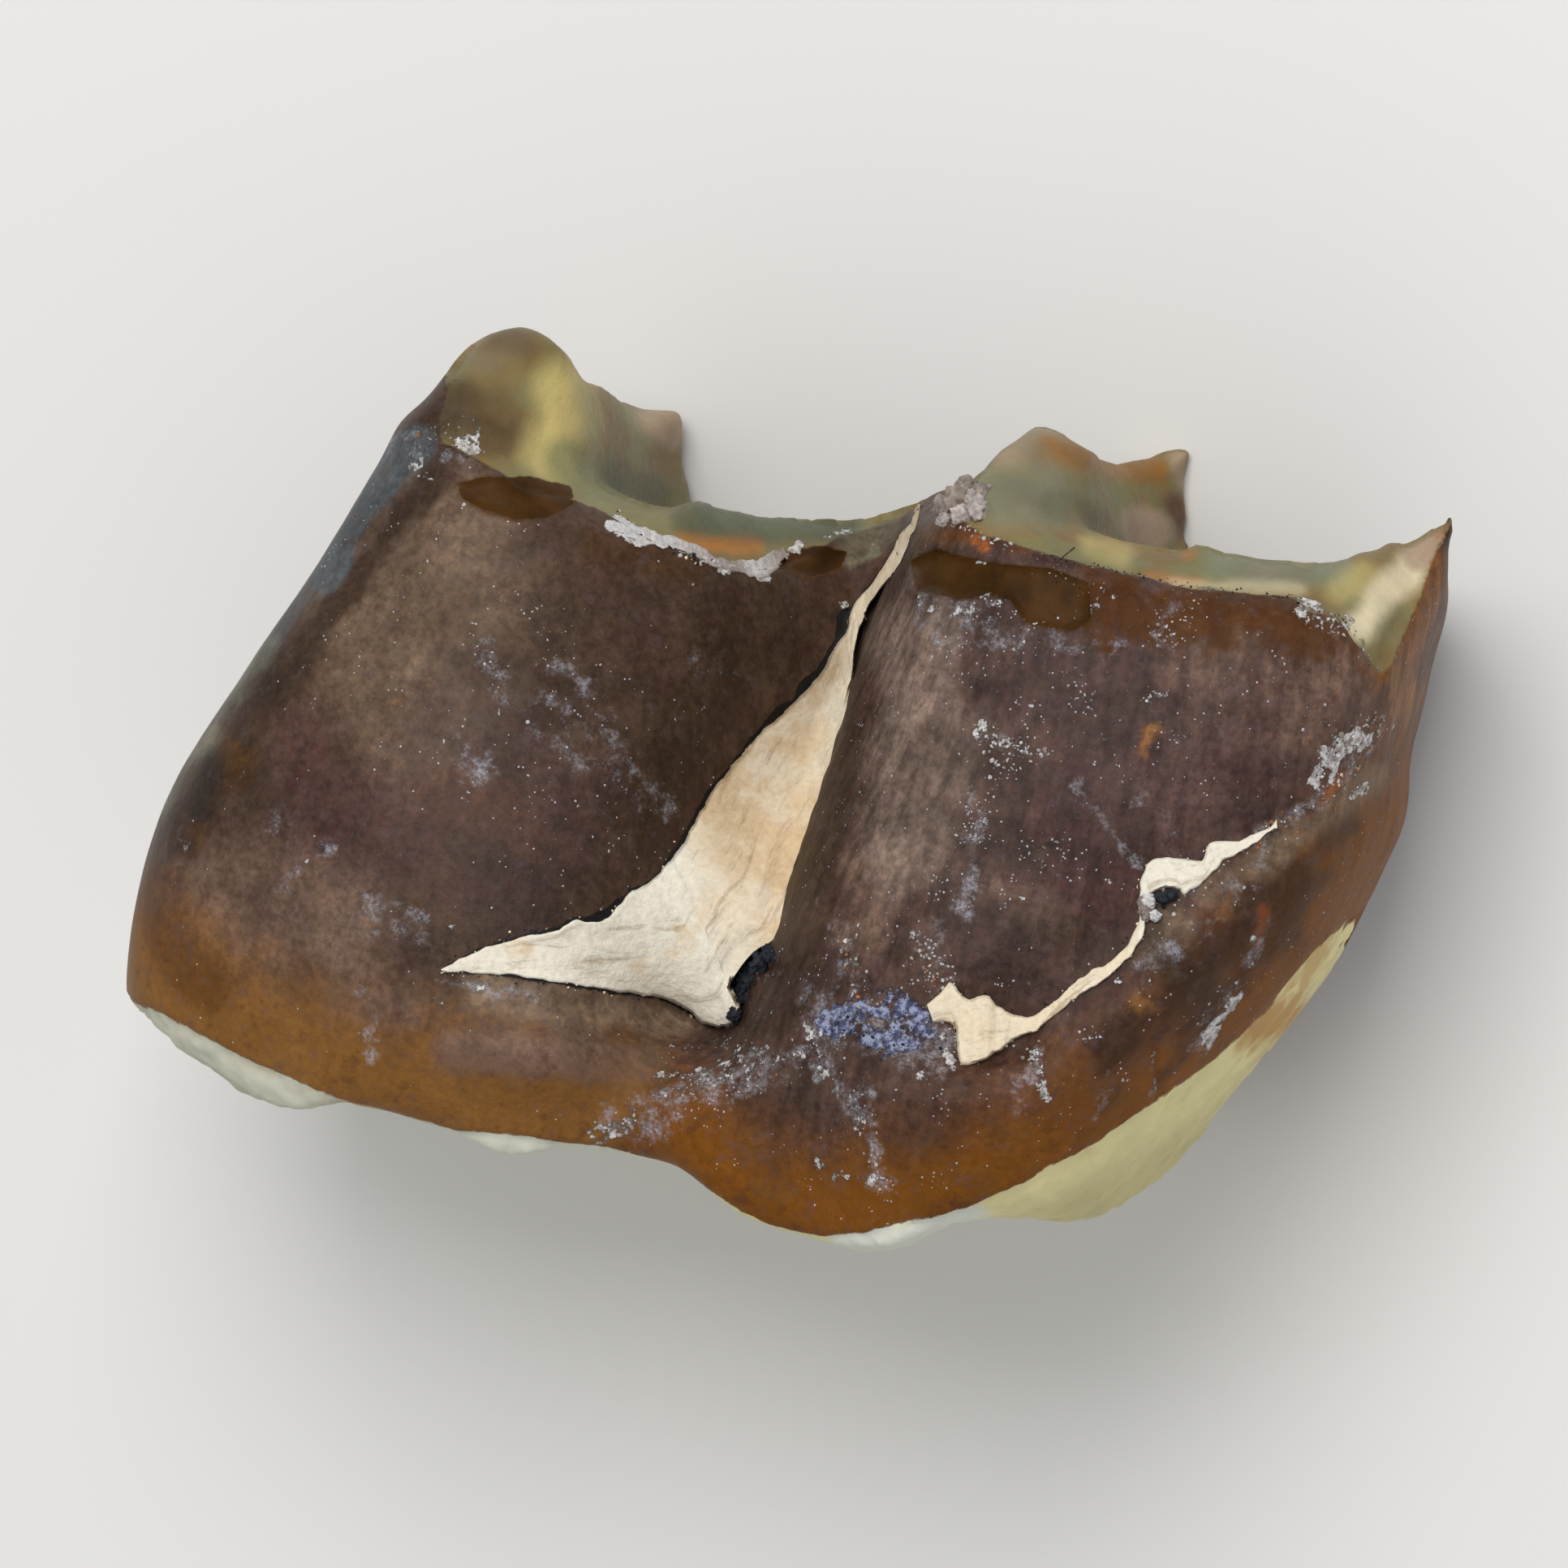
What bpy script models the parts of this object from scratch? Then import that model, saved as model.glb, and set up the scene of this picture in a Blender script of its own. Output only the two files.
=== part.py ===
"""Fossil lower cheek tooth of a running rhino, lying on its tongue side, cheek side up.

The tooth is described in its own directions, in millimetres: forward along the jaw (m),
towards the tongue (l) and up to the chewing surface (h). In the model X is forward, Y is up
the crown and Z is towards the cheek, so the tooth rests on the most tongueward part of its
wall. The origin is under the middle of the bounding box. Units of the model are metres.
"""

import math

import bmesh
import bpy
from mathutils import Matrix, Vector, noise
from mathutils.bvhtree import BVHTree

MM = 0.001

# Overall sizes of the crown and the place of the model's origin on it, in millimetres
CROWN_LENGTH = 19.7
CROWN_WIDTH = 12.85
CENTRE_M = 9.8
CENTRE_H = 5.25
REST_L = 12.78
WALL_BOTTOM = -3.0
WALL_TOP = 13.0

# Fineness of the meshes, in millimetres
RING_POINTS = 200
RING_STEP = 0.2
RELIEF_STEP = 0.3
RELIEF_MARGIN = 1.2
CURVE_STEPS = 12
VOXEL = 0.2
CROWN_TRIANGLES = 7500
SMOOTHING_PASSES = 8
SMOOTHING_SHARE = 0.5
SLICE_TOLERANCE = 0.00001
SHARP_ANGLE = 50

# Space kept between the crown and the sediment in it, in millimetres
GAP = 0.3

# How far a wall has gone from its foot outline (0) to its rim outline (1) at each height
POSTERIOR_RISE = (
    (-3.0, 0.10), (-1.0, 0.03), (0.2, 0.0), (1.8, 0.0), (3.2, 0.065), (4.3, 0.18),
    (5.2, 0.30), (6.2, 0.42), (7.4, 0.57), (8.4, 0.67), (9.2, 0.75), (10.1, 0.89),
    (11.0, 1.0), (13.0, 1.3),
)
CHEEK_RISE = (
    (-3.0, 0.20), (-1.0, 0.06), (0.5, 0.0), (2.0, 0.0), (4.0, 0.17), (6.0, 0.40),
    (8.0, 0.67), (10.5, 1.0), (13.0, 1.25),
)
FRONT_RISE = (
    (-3.0, -1.4), (-1.0, -1.05), (0.0, -0.73), (2.0, 0.0), (3.6, 0.53), (4.9, 0.79),
    (5.8, 0.84), (6.9, 0.91), (8.0, 0.97), (9.5, 1.0), (10.6, 1.0), (13.0, 0.9),
)
TONGUE_RISE = (
    (-3.0, -1.6), (-1.0, -0.7), (1.0, -0.15), (3.0, 0.0), (6.0, 0.45), (10.5, 1.0), (13.0, 1.1),
)
EVEN_RISE = ((-3.0, 0.0), (2.0, 0.0), (10.5, 1.0), (13.0, 1.25))
GROOVE_WALL_RISE = (
    (-3.0, -0.37), (-0.5, -0.36), (1.0, -0.26), (1.7, -0.07), (2.0, 0.0), (4.0, 0.17), (6.0, 0.4),
    (8.0, 0.67), (10.5, 1.0), (13.0, 1.25),
)
GROOVE_SLANT = (
    (-3.0, -6.4), (-0.5, -5.4), (1.0, -2.0), (2.0, 0.0), (6.0, 0.6), (10.5, 1.0), (13.0, 1.1),
)
GROOVE_RISE = (
    (-3.0, -0.76), (-0.5, -0.74), (0.3, -0.66), (1.0, -0.48), (1.7, -0.1), (2.0, 0.0),
    (4.0, 0.2), (6.0, 0.43), (8.0, 0.69), (10.5, 1.0), (13.0, 1.2),
)

# Wall outline: forward and tongueward place at the foot and at the rim, and the rises it follows
OUTLINE = (
    ("back wall, middle", (-0.05, 7.2), (3.75, 7.4), POSTERIOR_RISE, EVEN_RISE),
    ("back wall, cheek side", (-0.05, 3.9), (3.55, 4.5), POSTERIOR_RISE, CHEEK_RISE),
    ("back corner", (0.75, 1.8), (3.8, 3.4), POSTERIOR_RISE, CHEEK_RISE),
    ("rear cusp", (2.9, 0.65), (4.7, 3.0), EVEN_RISE, CHEEK_RISE),
    ("rear lobe cheek", (5.4, 0.3), (6.0, 3.35), EVEN_RISE, CHEEK_RISE),
    ("rear lobe turning in", (7.9, 0.8), (7.9, 5.2), EVEN_RISE, CHEEK_RISE),
    ("groove, rear wall", (8.95, 2.5), (9.2, 7.4), GROOVE_SLANT, GROOVE_WALL_RISE),
    ("groove floor", (10.0, 4.6), (10.2, 9.0), GROOVE_SLANT, GROOVE_RISE),
    ("groove lip", (10.75, 2.3), (11.1, 6.4), EVEN_RISE, GROOVE_WALL_RISE),
    ("middle cusp", (12.3, 0.8), (12.3, 3.9), EVEN_RISE, CHEEK_RISE),
    ("front lobe cheek", (13.9, 0.35), (13.6, 3.3), EVEN_RISE, CHEEK_RISE),
    ("front lobe middle", (15.9, 0.85), (16.2, 3.4), FRONT_RISE, CHEEK_RISE),
    ("front lobe turning", (17.2, 2.1), (18.4, 3.9), FRONT_RISE, CHEEK_RISE),
    ("front corner", (17.9, 4.2), (19.4, 5.0), FRONT_RISE, CHEEK_RISE),
    ("front wall", (18.0, 7.6), (19.5, 7.8), FRONT_RISE, EVEN_RISE),
    ("front tongue corner", (17.3, 11.2), (18.7, 11.2), FRONT_RISE, EVEN_RISE),
    ("front lobe, tongue side", (15.4, 12.75), (16.9, 12.4), FRONT_RISE, TONGUE_RISE),
    ("metaconid", (12.6, 12.85), (13.6, 12.95), EVEN_RISE, TONGUE_RISE),
    ("tongue wall, middle", (9.4, 12.5), (9.6, 12.3), EVEN_RISE, TONGUE_RISE),
    ("entoconid", (4.6, 12.85), (5.2, 12.7), EVEN_RISE, TONGUE_RISE),
    ("back tongue corner", (1.1, 11.2), (3.9, 11.6), POSTERIOR_RISE, EVEN_RISE),
)

# Crests of the chewing surface: forward, tongueward, height and half width of the worn top
REAR_CREST = (
    (4.7, 12.9, 9.25, 0.3), (4.6, 11.3, 9.4, 0.3), (4.6, 9.2, 10.0, 0.3),
    (4.6, 6.4, 10.9, 0.35), (4.55, 4.9, 11.7, 0.35), (4.6, 4.3, 11.3, 0.45),
    (5.0, 4.1, 10.1, 0.55), (5.6, 4.2, 9.5, 0.6), (6.5, 4.7, 9.4, 0.65),
    (7.5, 5.7, 9.05, 0.7), (8.4, 6.8, 8.85, 0.75), (9.1, 7.5, 8.9, 0.75),
    (9.9, 7.9, 9.25, 0.7), (10.9, 8.1, 9.95, 0.6), (11.8, 7.4, 10.5, 0.5),
)
FRONT_CREST = (
    (12.8, 4.0, 11.2, 0.5), (13.5, 4.2, 10.7, 0.6), (14.3, 4.5, 10.45, 0.7),
    (16.3, 4.9, 10.45, 0.75), (17.8, 5.1, 10.45, 0.7), (18.5, 5.8, 10.5, 0.55),
    (18.95, 7.2, 10.75, 0.3), (19.3, 8.0, 11.6, 0.1), (18.95, 8.7, 10.7, 0.3),
    (18.4, 10.8, 10.0, 0.4), (17.7, 12.6, 9.5, 0.4),
)
MIDDLE_CREST = (
    (12.7, 4.0, 11.0, 0.35), (12.95, 5.4, 11.4, 0.35), (13.05, 6.4, 11.65, 0.35),
    (12.9, 7.9, 11.2, 0.35), (12.8, 9.8, 10.62, 0.3), (12.9, 11.5, 10.3, 0.25),
    (13.25, 12.6, 10.6, 0.2), (13.3, 13.4, 10.6, 0.2),
)
NOTCH_CREST = ((11.3, 6.6, 10.05, 0.9), (11.7, 5.2, 10.35, 0.9), (12.5, 4.0, 10.9, 0.6))
CREST_SLOPE = 3.2
CREST_OUTER_FALL = 0.2
CREST_ROUNDING = 0.25
CREST_REACH = 3.0
CREST_DISH = 0.12
WEAR_RELIEF = 0.08
WEAR_GRAIN = 1.3

# Valleys between the crests: forward and tongueward place and height of the floor
REAR_BASIN = (8.2, 10.8, 5.0)
FRONT_BASIN = (16.2, 9.8, 6.0)
BASIN_CURVE = 0.06
BASIN_CURVE_TONGUEWARD = 0.024

# Plane of the chip at the front cheek corner of the rim: a point on it, and its two slopes
CORNER_CHIP = (18.73, 4.2, 10.19, -1.54, 0.51)

# Height of the broken underside along the cheek edge, by forward place
BREAK_LINE = (
    (-1.0, -0.5), (0.0, -0.5), (2.0, -0.8), (3.9, -1.2), (4.8, -0.65), (6.2, -0.7),
    (7.1, -1.0), (9.0, -0.8), (9.9, -0.5), (10.8, -0.85), (11.7, -1.2), (13.0, -1.1),
    (14.2, -1.1), (14.9, -0.5), (16.0, 0.0), (17.0, 0.4), (18.0, 0.9), (21.0, 1.5),
)
BREAK_MIDDLE = -0.7
BREAK_EDGE = 1.0
BREAK_EDGE_WIDTH = 3.0
BREAK_RELIEF = 0.35
BREAK_GRAIN = 0.45
BREAK_ROUGHNESS = 0.8

# Crease along the foot of the cheek side and the ridge below it: forward place, height, size
REAR_CINGULUM = (
    (4.6, 1.5, 0.0), (6.2, 1.6, 0.3), (8.4, 1.65, 0.55), (10.0, 1.5, 0.7), (11.0, 1.3, 0.2),
)
FRONT_CINGULUM = (
    (13.3, 2.9, 0.0), (14.3, 2.5, 0.3), (15.2, 2.6, 0.5), (16.2, 3.66, 0.5), (17.0, 5.1, 0.5),
    (17.8, 6.35, 0.45), (18.6, 6.85, 0.3), (19.2, 7.3, 0.12), (19.6, 8.2, 0.0),
)
RIDGE_OFFSET = 0.75
RIDGE_HALF_WIDTH = 0.6
CREASE_HALF_WIDTH = 0.3
CREASE_SHARE = 0.7
CINGULUM_REAR = 3.0
CINGULUM_TONGUEWARD = 9.0
CINGULUM_FACING = 0.35

# Direction in which the groove lies open, as forward, tongueward and up; places below that are
# called sight places are given where a line this way meets the plane l = 0
SIGHT = (0.253, -0.945, 0.208)

# Sediment in the groove: sight height, and the sight places of its rear edge and front lip
FILL_EDGES = (
    (2.25, 8.3, 11.1), (2.6, 8.4, 11.12), (3.1, 8.6, 11.15), (3.5, 8.9, 11.2), (4.0, 9.1, 11.35),
    (4.8, 9.65, 11.56), (6.0, 10.2, 11.78), (7.0, 10.75, 11.9), (8.0, 11.4, 12.03),
    (9.3, 11.8, 12.25), (10.1, 12.3, 12.5), (10.9, 12.65, 12.78),
)
FILL_COLUMNS = 10
FILL_UNDER_LIP = 0.5
FILL_RECESS = 0.05
FILL_PROUD = 0.12
FILL_BACK = 2.4
FILL_TRIANGLES = 900
FILL_VOXEL = 0.1
FILL_SMOOTHING = 8

# Pocket with the sediment above the front ridge: sight place, and half sizes along, up and in
POCKET = (15.3, 3.15)
POCKET_SIZE = (1.1, 0.68, 0.85)
LUMP_RELIEF = 0.35
LUMP_GRAIN = 1.3

ENAMEL_COLOUR = (0.075, 0.045, 0.032)
ENAMEL_ROUGHNESS = 0.32
SEDIMENT_COLOUR = (0.83, 0.66, 0.42)
SEDIMENT_ROUGHNESS = 0.95


def place(m, l, h):
    """The model's point, in metres, for a point of the tooth in millimetres."""
    return Vector((m - CENTRE_M, h - CENTRE_H, REST_L - l)) * MM


def read_curve(pairs, x):
    """A value read off a curve given by its points, straight between them."""
    if x <= pairs[0][0]:
        return pairs[0][1]
    for (x0, y0), (x1, y1) in zip(pairs, pairs[1:]):
        if x <= x1:
            return y0 + (y1 - y0) * (x - x0) / (x1 - x0)
    return pairs[-1][1]


def catmull(p0, p1, p2, p3, t):
    """One coordinate of a smooth curve between p1 and p2."""
    return 0.5 * (
        2 * p1
        + (p2 - p0) * t
        + (2 * p0 - 5 * p1 + 4 * p2 - p3) * t ** 2
        + (3 * p1 - p0 - 3 * p2 + p3) * t ** 3
    )


def smooth_loop(points, count):
    """A closed smooth curve through the points, as count evenly spaced points."""
    dense = []
    n = len(points)
    for i in range(n):
        window = [points[(i + k - 1) % n] for k in range(4)]
        for step in range(CURVE_STEPS):
            t = step / CURVE_STEPS
            dense.append(Vector([catmull(*(p[axis] for p in window), t) for axis in (0, 1)]))
    lengths = [(dense[(i + 1) % len(dense)] - p).length for i, p in enumerate(dense)]
    total = sum(lengths)
    loop = []
    index = 0
    walked = 0.0
    for k in range(count):
        target = total * k / count
        while walked + lengths[index] < target:
            walked += lengths[index]
            index += 1
        share = (target - walked) / lengths[index]
        loop.append(dense[index].lerp(dense[(index + 1) % len(dense)], share))
    return loop


def nearest_on_path(path, a, b):
    """Distance to a path in its first two coordinates, the side (0 off its ends) and the rest."""
    best = None
    for start, end in zip(path, path[1:]):
        da = end[0] - start[0]
        db = end[1] - start[1]
        t = ((a - start[0]) * da + (b - start[1]) * db) / (da * da + db * db)
        t = min(max(t, 0.0), 1.0)
        off_a = a - start[0] - da * t
        off_b = b - start[1] - db * t
        distance = math.hypot(off_a, off_b)
        if best is None or distance < best[0]:
            side = da * off_b - db * off_a
            if (start is path[0] and t == 0.0) or (end is path[-1] and t == 1.0):
                side = 0.0
            values = [s + (e - s) * t for s, e in zip(start[2:], end[2:])]
            best = (distance, side, values)
    return best


def crest_height(crest, m, l, outer_wall):
    """Height of the chewing surface that one crest alone would give."""
    distance, side, (top, half_width) = nearest_on_path(crest, m, l)
    if outer_wall and side < 0:
        top -= CREST_OUTER_FALL * distance
        half_width = CREST_REACH
    if distance < half_width:
        return top - CREST_DISH * (1 - (distance / half_width) ** 2)
    past = distance - half_width
    return top - CREST_SLOPE * (math.hypot(past, CREST_ROUNDING) - CREST_ROUNDING)


def basin_height(basin, m, l):
    """Height of the floor of a valley between the crests."""
    centre_m, centre_l, floor = basin
    lengthwise = BASIN_CURVE * (m - centre_m) ** 2
    tongueward = BASIN_CURVE_TONGUEWARD * (l - centre_l) ** 2
    return floor + lengthwise + tongueward


def chewing_height(m, l):
    """Height of the chewing surface."""
    height = max(
        crest_height(REAR_CREST, m, l, True),
        crest_height(FRONT_CREST, m, l, True),
        crest_height(MIDDLE_CREST, m, l, False),
        crest_height(NOTCH_CREST, m, l, False),
        min(basin_height(REAR_BASIN, m, l), basin_height(FRONT_BASIN, m, l)),
    )
    chip_m, chip_l, chip_h, slope_m, slope_l = CORNER_CHIP
    height = min(height, chip_h + slope_m * (m - chip_m) + slope_l * (l - chip_l))
    return height + WEAR_RELIEF * noise.noise(Vector((m, l, WALL_TOP)) * WEAR_GRAIN)


def broken_height(m, l):
    """Height of the underside, where the roots broke away."""
    edge = read_curve(BREAK_LINE, m)
    inside = min(1.0, max(0.0, (l - BREAK_EDGE) / BREAK_EDGE_WIDTH))
    rough = noise.fractal(Vector((m, l, WALL_BOTTOM)) * BREAK_GRAIN, BREAK_ROUGHNESS, 2.0, 4)
    return edge * (1 - inside) + BREAK_MIDDLE * inside + BREAK_RELIEF * rough


def cingulum_push(path, m, h):
    """How far the ridge and its crease move the wall outwards at a place on the cheek side."""
    distance, side, (size,) = nearest_on_path(path, m, h)
    crease = math.exp(-((distance / CREASE_HALF_WIDTH) ** 2))
    if side > 0:
        distance = -distance
    ridge = math.exp(-(((distance - RIDGE_OFFSET) / RIDGE_HALF_WIDTH) ** 2))
    return size * (ridge - CREASE_SHARE * crease)


def wall_outline(h):
    """Outline of the wall at one height, as evenly spaced points."""
    points = []
    for _, foot, rim, rise_m, rise_l in OUTLINE:
        share_m = read_curve(rise_m, h)
        share_l = read_curve(rise_l, h)
        points.append((
            foot[0] + (rim[0] - foot[0]) * share_m,
            foot[1] + (rim[1] - foot[1]) * share_l,
        ))
    return smooth_loop(points, RING_POINTS)


def wall_ring(h):
    """Points of the wall at one height, with the cingulum on the cheek side."""
    loop = wall_outline(h)
    ring = []
    for k, p in enumerate(loop):
        along = loop[(k + 1) % len(loop)] - loop[k - 1]
        outward = Vector((along.y, -along.x)).normalized()
        cheekward = outward.y < CINGULUM_FACING and p.y < CINGULUM_TONGUEWARD
        if cheekward and p.x > CINGULUM_REAR:
            push = cingulum_push(REAR_CINGULUM, p.x, h) + cingulum_push(FRONT_CINGULUM, p.x, h)
            p = p + outward * push
        ring.append(place(p.x, p.y, h))
    return ring


def new_object(name, bm):
    """A linked object made of a bmesh, which is freed."""
    mesh = bpy.data.meshes.new(name)
    bm.to_mesh(mesh)
    bm.free()
    item = bpy.data.objects.new(name, mesh)
    bpy.context.scene.collection.objects.link(item)
    return item


def outward_normals(bm):
    """Faces turned to point outwards."""
    bmesh.ops.recalc_face_normals(bm, faces=bm.faces[:])


def make_wall():
    """Closed body with the crown's sides, taller than the crown at both ends."""
    bm = bmesh.new()
    levels = int((WALL_TOP - WALL_BOTTOM) / RING_STEP) + 1
    rings = []
    for k in range(levels):
        h = WALL_BOTTOM + (WALL_TOP - WALL_BOTTOM) * k / (levels - 1)
        rings.append([bm.verts.new(p) for p in wall_ring(h)])
    for lower, upper in zip(rings, rings[1:]):
        for k in range(RING_POINTS):
            after = (k + 1) % RING_POINTS
            bm.faces.new((lower[k], lower[after], upper[after], upper[k]))
    bm.faces.new(rings[0])
    bm.faces.new(rings[-1])
    outward_normals(bm)
    return new_object("wall", bm)


def make_relief():
    """Closed body between the broken underside and the chewing surface."""
    columns = int((CROWN_LENGTH + 2 * RELIEF_MARGIN) / RELIEF_STEP) + 1
    rows = int((CROWN_WIDTH + 2 * RELIEF_MARGIN) / RELIEF_STEP) + 1
    bm = bmesh.new()
    tops = []
    bottoms = []
    for row in range(rows):
        l = -RELIEF_MARGIN + RELIEF_STEP * row
        tops.append([])
        bottoms.append([])
        for column in range(columns):
            m = -RELIEF_MARGIN + RELIEF_STEP * column
            tops[-1].append(bm.verts.new(place(m, l, chewing_height(m, l))))
            bottoms[-1].append(bm.verts.new(place(m, l, broken_height(m, l))))
    for row in range(rows - 1):
        for column in range(columns - 1):
            for sheet in (tops, bottoms):
                bm.faces.new((
                    sheet[row][column],
                    sheet[row][column + 1],
                    sheet[row + 1][column + 1],
                    sheet[row + 1][column],
                ))
    rim = [e for e in bm.edges if e.is_boundary]
    bmesh.ops.bridge_loops(bm, edges=rim)
    outward_normals(bm)
    return new_object("relief", bm)


def apply_modifier(item, kind, **settings):
    """Adds one modifier, applies it and keeps the object's place in the scene."""
    modifier = item.modifiers.new(kind.title(), kind)
    for key, value in settings.items():
        setattr(modifier, key, value)
    graph = bpy.context.evaluated_depsgraph_get()
    result = bpy.data.meshes.new_from_object(item.evaluated_get(graph))
    item.modifiers.remove(modifier)
    old = item.data
    item.data = result
    bpy.data.meshes.remove(old)


def boolean(item, other, operation):
    """EXACT Boolean of two objects; the second one is removed."""
    apply_modifier(item, "BOOLEAN", object=other, operation=operation, solver="EXACT")
    bpy.data.objects.remove(other)


def keep_largest_island(item):
    """Removes loose bits, so that one closed body is left."""
    bm = bmesh.new()
    bm.from_mesh(item.data)
    left = set(bm.verts)
    islands = []
    while left:
        stack = [left.pop()]
        island = set(stack)
        while stack:
            for edge in stack.pop().link_edges:
                for v in edge.verts:
                    if v in left:
                        left.remove(v)
                        island.add(v)
                        stack.append(v)
        islands.append(island)
    islands.sort(key=len)
    for island in islands[:-1]:
        bmesh.ops.delete(bm, geom=list(island), context="VERTS")
    bm.to_mesh(item.data)
    bm.free()


def slice_flat(item):
    """Cuts off the little that reaches below the floor, which leaves small flats to rest on."""
    bm = bmesh.new()
    bm.from_mesh(item.data)
    bmesh.ops.bisect_plane(
        bm, geom=bm.verts[:] + bm.edges[:] + bm.faces[:], dist=SLICE_TOLERANCE * MM,
        plane_co=(0, 0, 0), plane_no=(0, 0, -1), clear_outer=True,
    )
    bmesh.ops.holes_fill(bm, edges=[e for e in bm.edges if e.is_boundary], sides=0)
    bmesh.ops.triangulate(bm, faces=bm.faces[:])
    outward_normals(bm)
    bm.to_mesh(item.data)
    bm.free()


def material(name, colour, roughness):
    """A plain Principled material."""
    made = bpy.data.materials.new(name)
    made.use_nodes = True
    shader = made.node_tree.nodes["Principled BSDF"]
    shader.inputs["Base Color"].default_value = (*colour, 1.0)
    shader.inputs["Roughness"].default_value = roughness
    shader.inputs["Metallic"].default_value = 0.0
    return made


def sight_hit(tree, m, h):
    """Where a sight line through a sight place first meets a surface, and the normal there."""
    along = Vector((SIGHT[0], SIGHT[2], -SIGHT[1]))
    start = place(m, 0.0, h) + along * CROWN_LENGTH * MM
    spot, normal, _, _ = tree.ray_cast(start, -along)
    return spot, normal


def tree_of(item):
    """Search tree of an object's mesh."""
    bm = bmesh.new()
    bm.from_mesh(item.data)
    tree = BVHTree.FromBMesh(bm)
    bm.free()
    return tree


def thickened(item, distance):
    """A copy of an object, grown outwards all over."""
    grown = bpy.data.objects.new("grown", item.data.copy())
    bpy.context.scene.collection.objects.link(grown)
    apply_modifier(grown, "DISPLACE", strength=distance * MM, mid_level=0.0, direction="NORMAL")
    apply_modifier(grown, "REMESH", mode="VOXEL", voxel_size=GAP / 2 * MM, adaptivity=0.0)
    return grown


def reduce_triangles(item, count):
    """Decimates an object to about a number of triangles."""
    faces = sum(len(p.vertices) - 2 for p in item.data.polygons)
    if faces > count:
        apply_modifier(item, "DECIMATE", ratio=count / faces, use_collapse_triangulate=True)


def finish(item, name, finish_material):
    """Names an object and its mesh, and gives it its material and shading."""
    item.name = name
    item.data.name = name
    item.data.materials.clear()
    item.data.materials.append(finish_material)
    item.data.shade_smooth()
    item.data.set_sharp_from_angle(angle=math.radians(SHARP_ANGLE))


def lumpy_ball(name, centre, axes, sizes):
    """A closed uneven ball with its three half sizes, in millimetres, along the given axes."""
    bm = bmesh.new()
    bmesh.ops.create_icosphere(bm, subdivisions=3, radius=MM)
    for v in bm.verts:
        v.co *= 1 + LUMP_RELIEF * noise.noise(v.co / MM * LUMP_GRAIN)
    turn = Matrix(axes).transposed() @ Matrix.Diagonal(sizes)
    bmesh.ops.transform(bm, verts=bm.verts[:], matrix=Matrix.Translation(centre) @ turn.to_4x4())
    outward_normals(bm)
    return new_object(name, bm)


def make_crown():
    """The enamel crown with what is left of its roots, one grown piece."""
    crown = make_wall()
    boolean(crown, make_relief(), "INTERSECT")
    apply_modifier(crown, "REMESH", mode="VOXEL", voxel_size=VOXEL * MM, adaptivity=0.0)
    apply_modifier(crown, "SMOOTH", factor=SMOOTHING_SHARE, iterations=SMOOTHING_PASSES)
    reduce_triangles(crown, CROWN_TRIANGLES)
    keep_largest_island(crown)
    slice_flat(crown)
    return crown


def make_groove_sediment(crown):
    """The rock matrix in the groove, between the rear lobe's wall and the front lobe's lip."""
    tree = tree_of(crown)
    inward = -Vector((SIGHT[0], SIGHT[2], -SIGHT[1]))
    bm = bmesh.new()
    fronts = []
    backs = []
    for height, rear, lip in FILL_EDGES:
        rear_spot, _ = sight_hit(tree, rear, height)
        lip_spot, _ = sight_hit(tree, lip + FILL_UNDER_LIP, height)
        rear_spot = rear_spot - inward * FILL_PROUD * MM
        lip_spot = lip_spot + inward * FILL_RECESS * MM
        row = [rear_spot.lerp(lip_spot, k / FILL_COLUMNS) for k in range(FILL_COLUMNS + 1)]
        fronts.append([bm.verts.new(p) for p in row])
        backs.append([bm.verts.new(p + inward * FILL_BACK * MM) for p in row])
    for sheet in (fronts, backs):
        for lower, upper in zip(sheet, sheet[1:]):
            for k in range(FILL_COLUMNS):
                bm.faces.new((lower[k], lower[k + 1], upper[k + 1], upper[k]))
    bmesh.ops.bridge_loops(bm, edges=[e for e in bm.edges if e.is_boundary])
    outward_normals(bm)
    fill = new_object("fill", bm)
    boolean(fill, thickened(crown, GAP), "DIFFERENCE")
    keep_largest_island(fill)
    apply_modifier(fill, "REMESH", mode="VOXEL", voxel_size=FILL_VOXEL * MM, adaptivity=0.0)
    apply_modifier(fill, "SMOOTH", factor=SMOOTHING_SHARE, iterations=FILL_SMOOTHING)
    reduce_triangles(fill, FILL_TRIANGLES)
    keep_largest_island(fill)
    return fill


def make_cingulum_sediment(crown):
    """The lump of rock matrix in the crease, with its pocket cut in the crown."""
    spot, normal = sight_hit(tree_of(crown), *POCKET)
    along = Vector((1.0, 0.0, 0.0)) - normal * normal.x
    along.normalize()
    axes = (along, normal.cross(along), normal)
    pocket = lumpy_ball("pocket", spot, axes, POCKET_SIZE)
    lump = lumpy_ball("lump", spot, axes, [size - GAP for size in POCKET_SIZE])
    whole = bpy.data.objects.new("whole", crown.data.copy())
    bpy.context.scene.collection.objects.link(whole)
    boolean(lump, whole, "INTERSECT")
    boolean(crown, pocket, "DIFFERENCE")
    return lump


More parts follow.
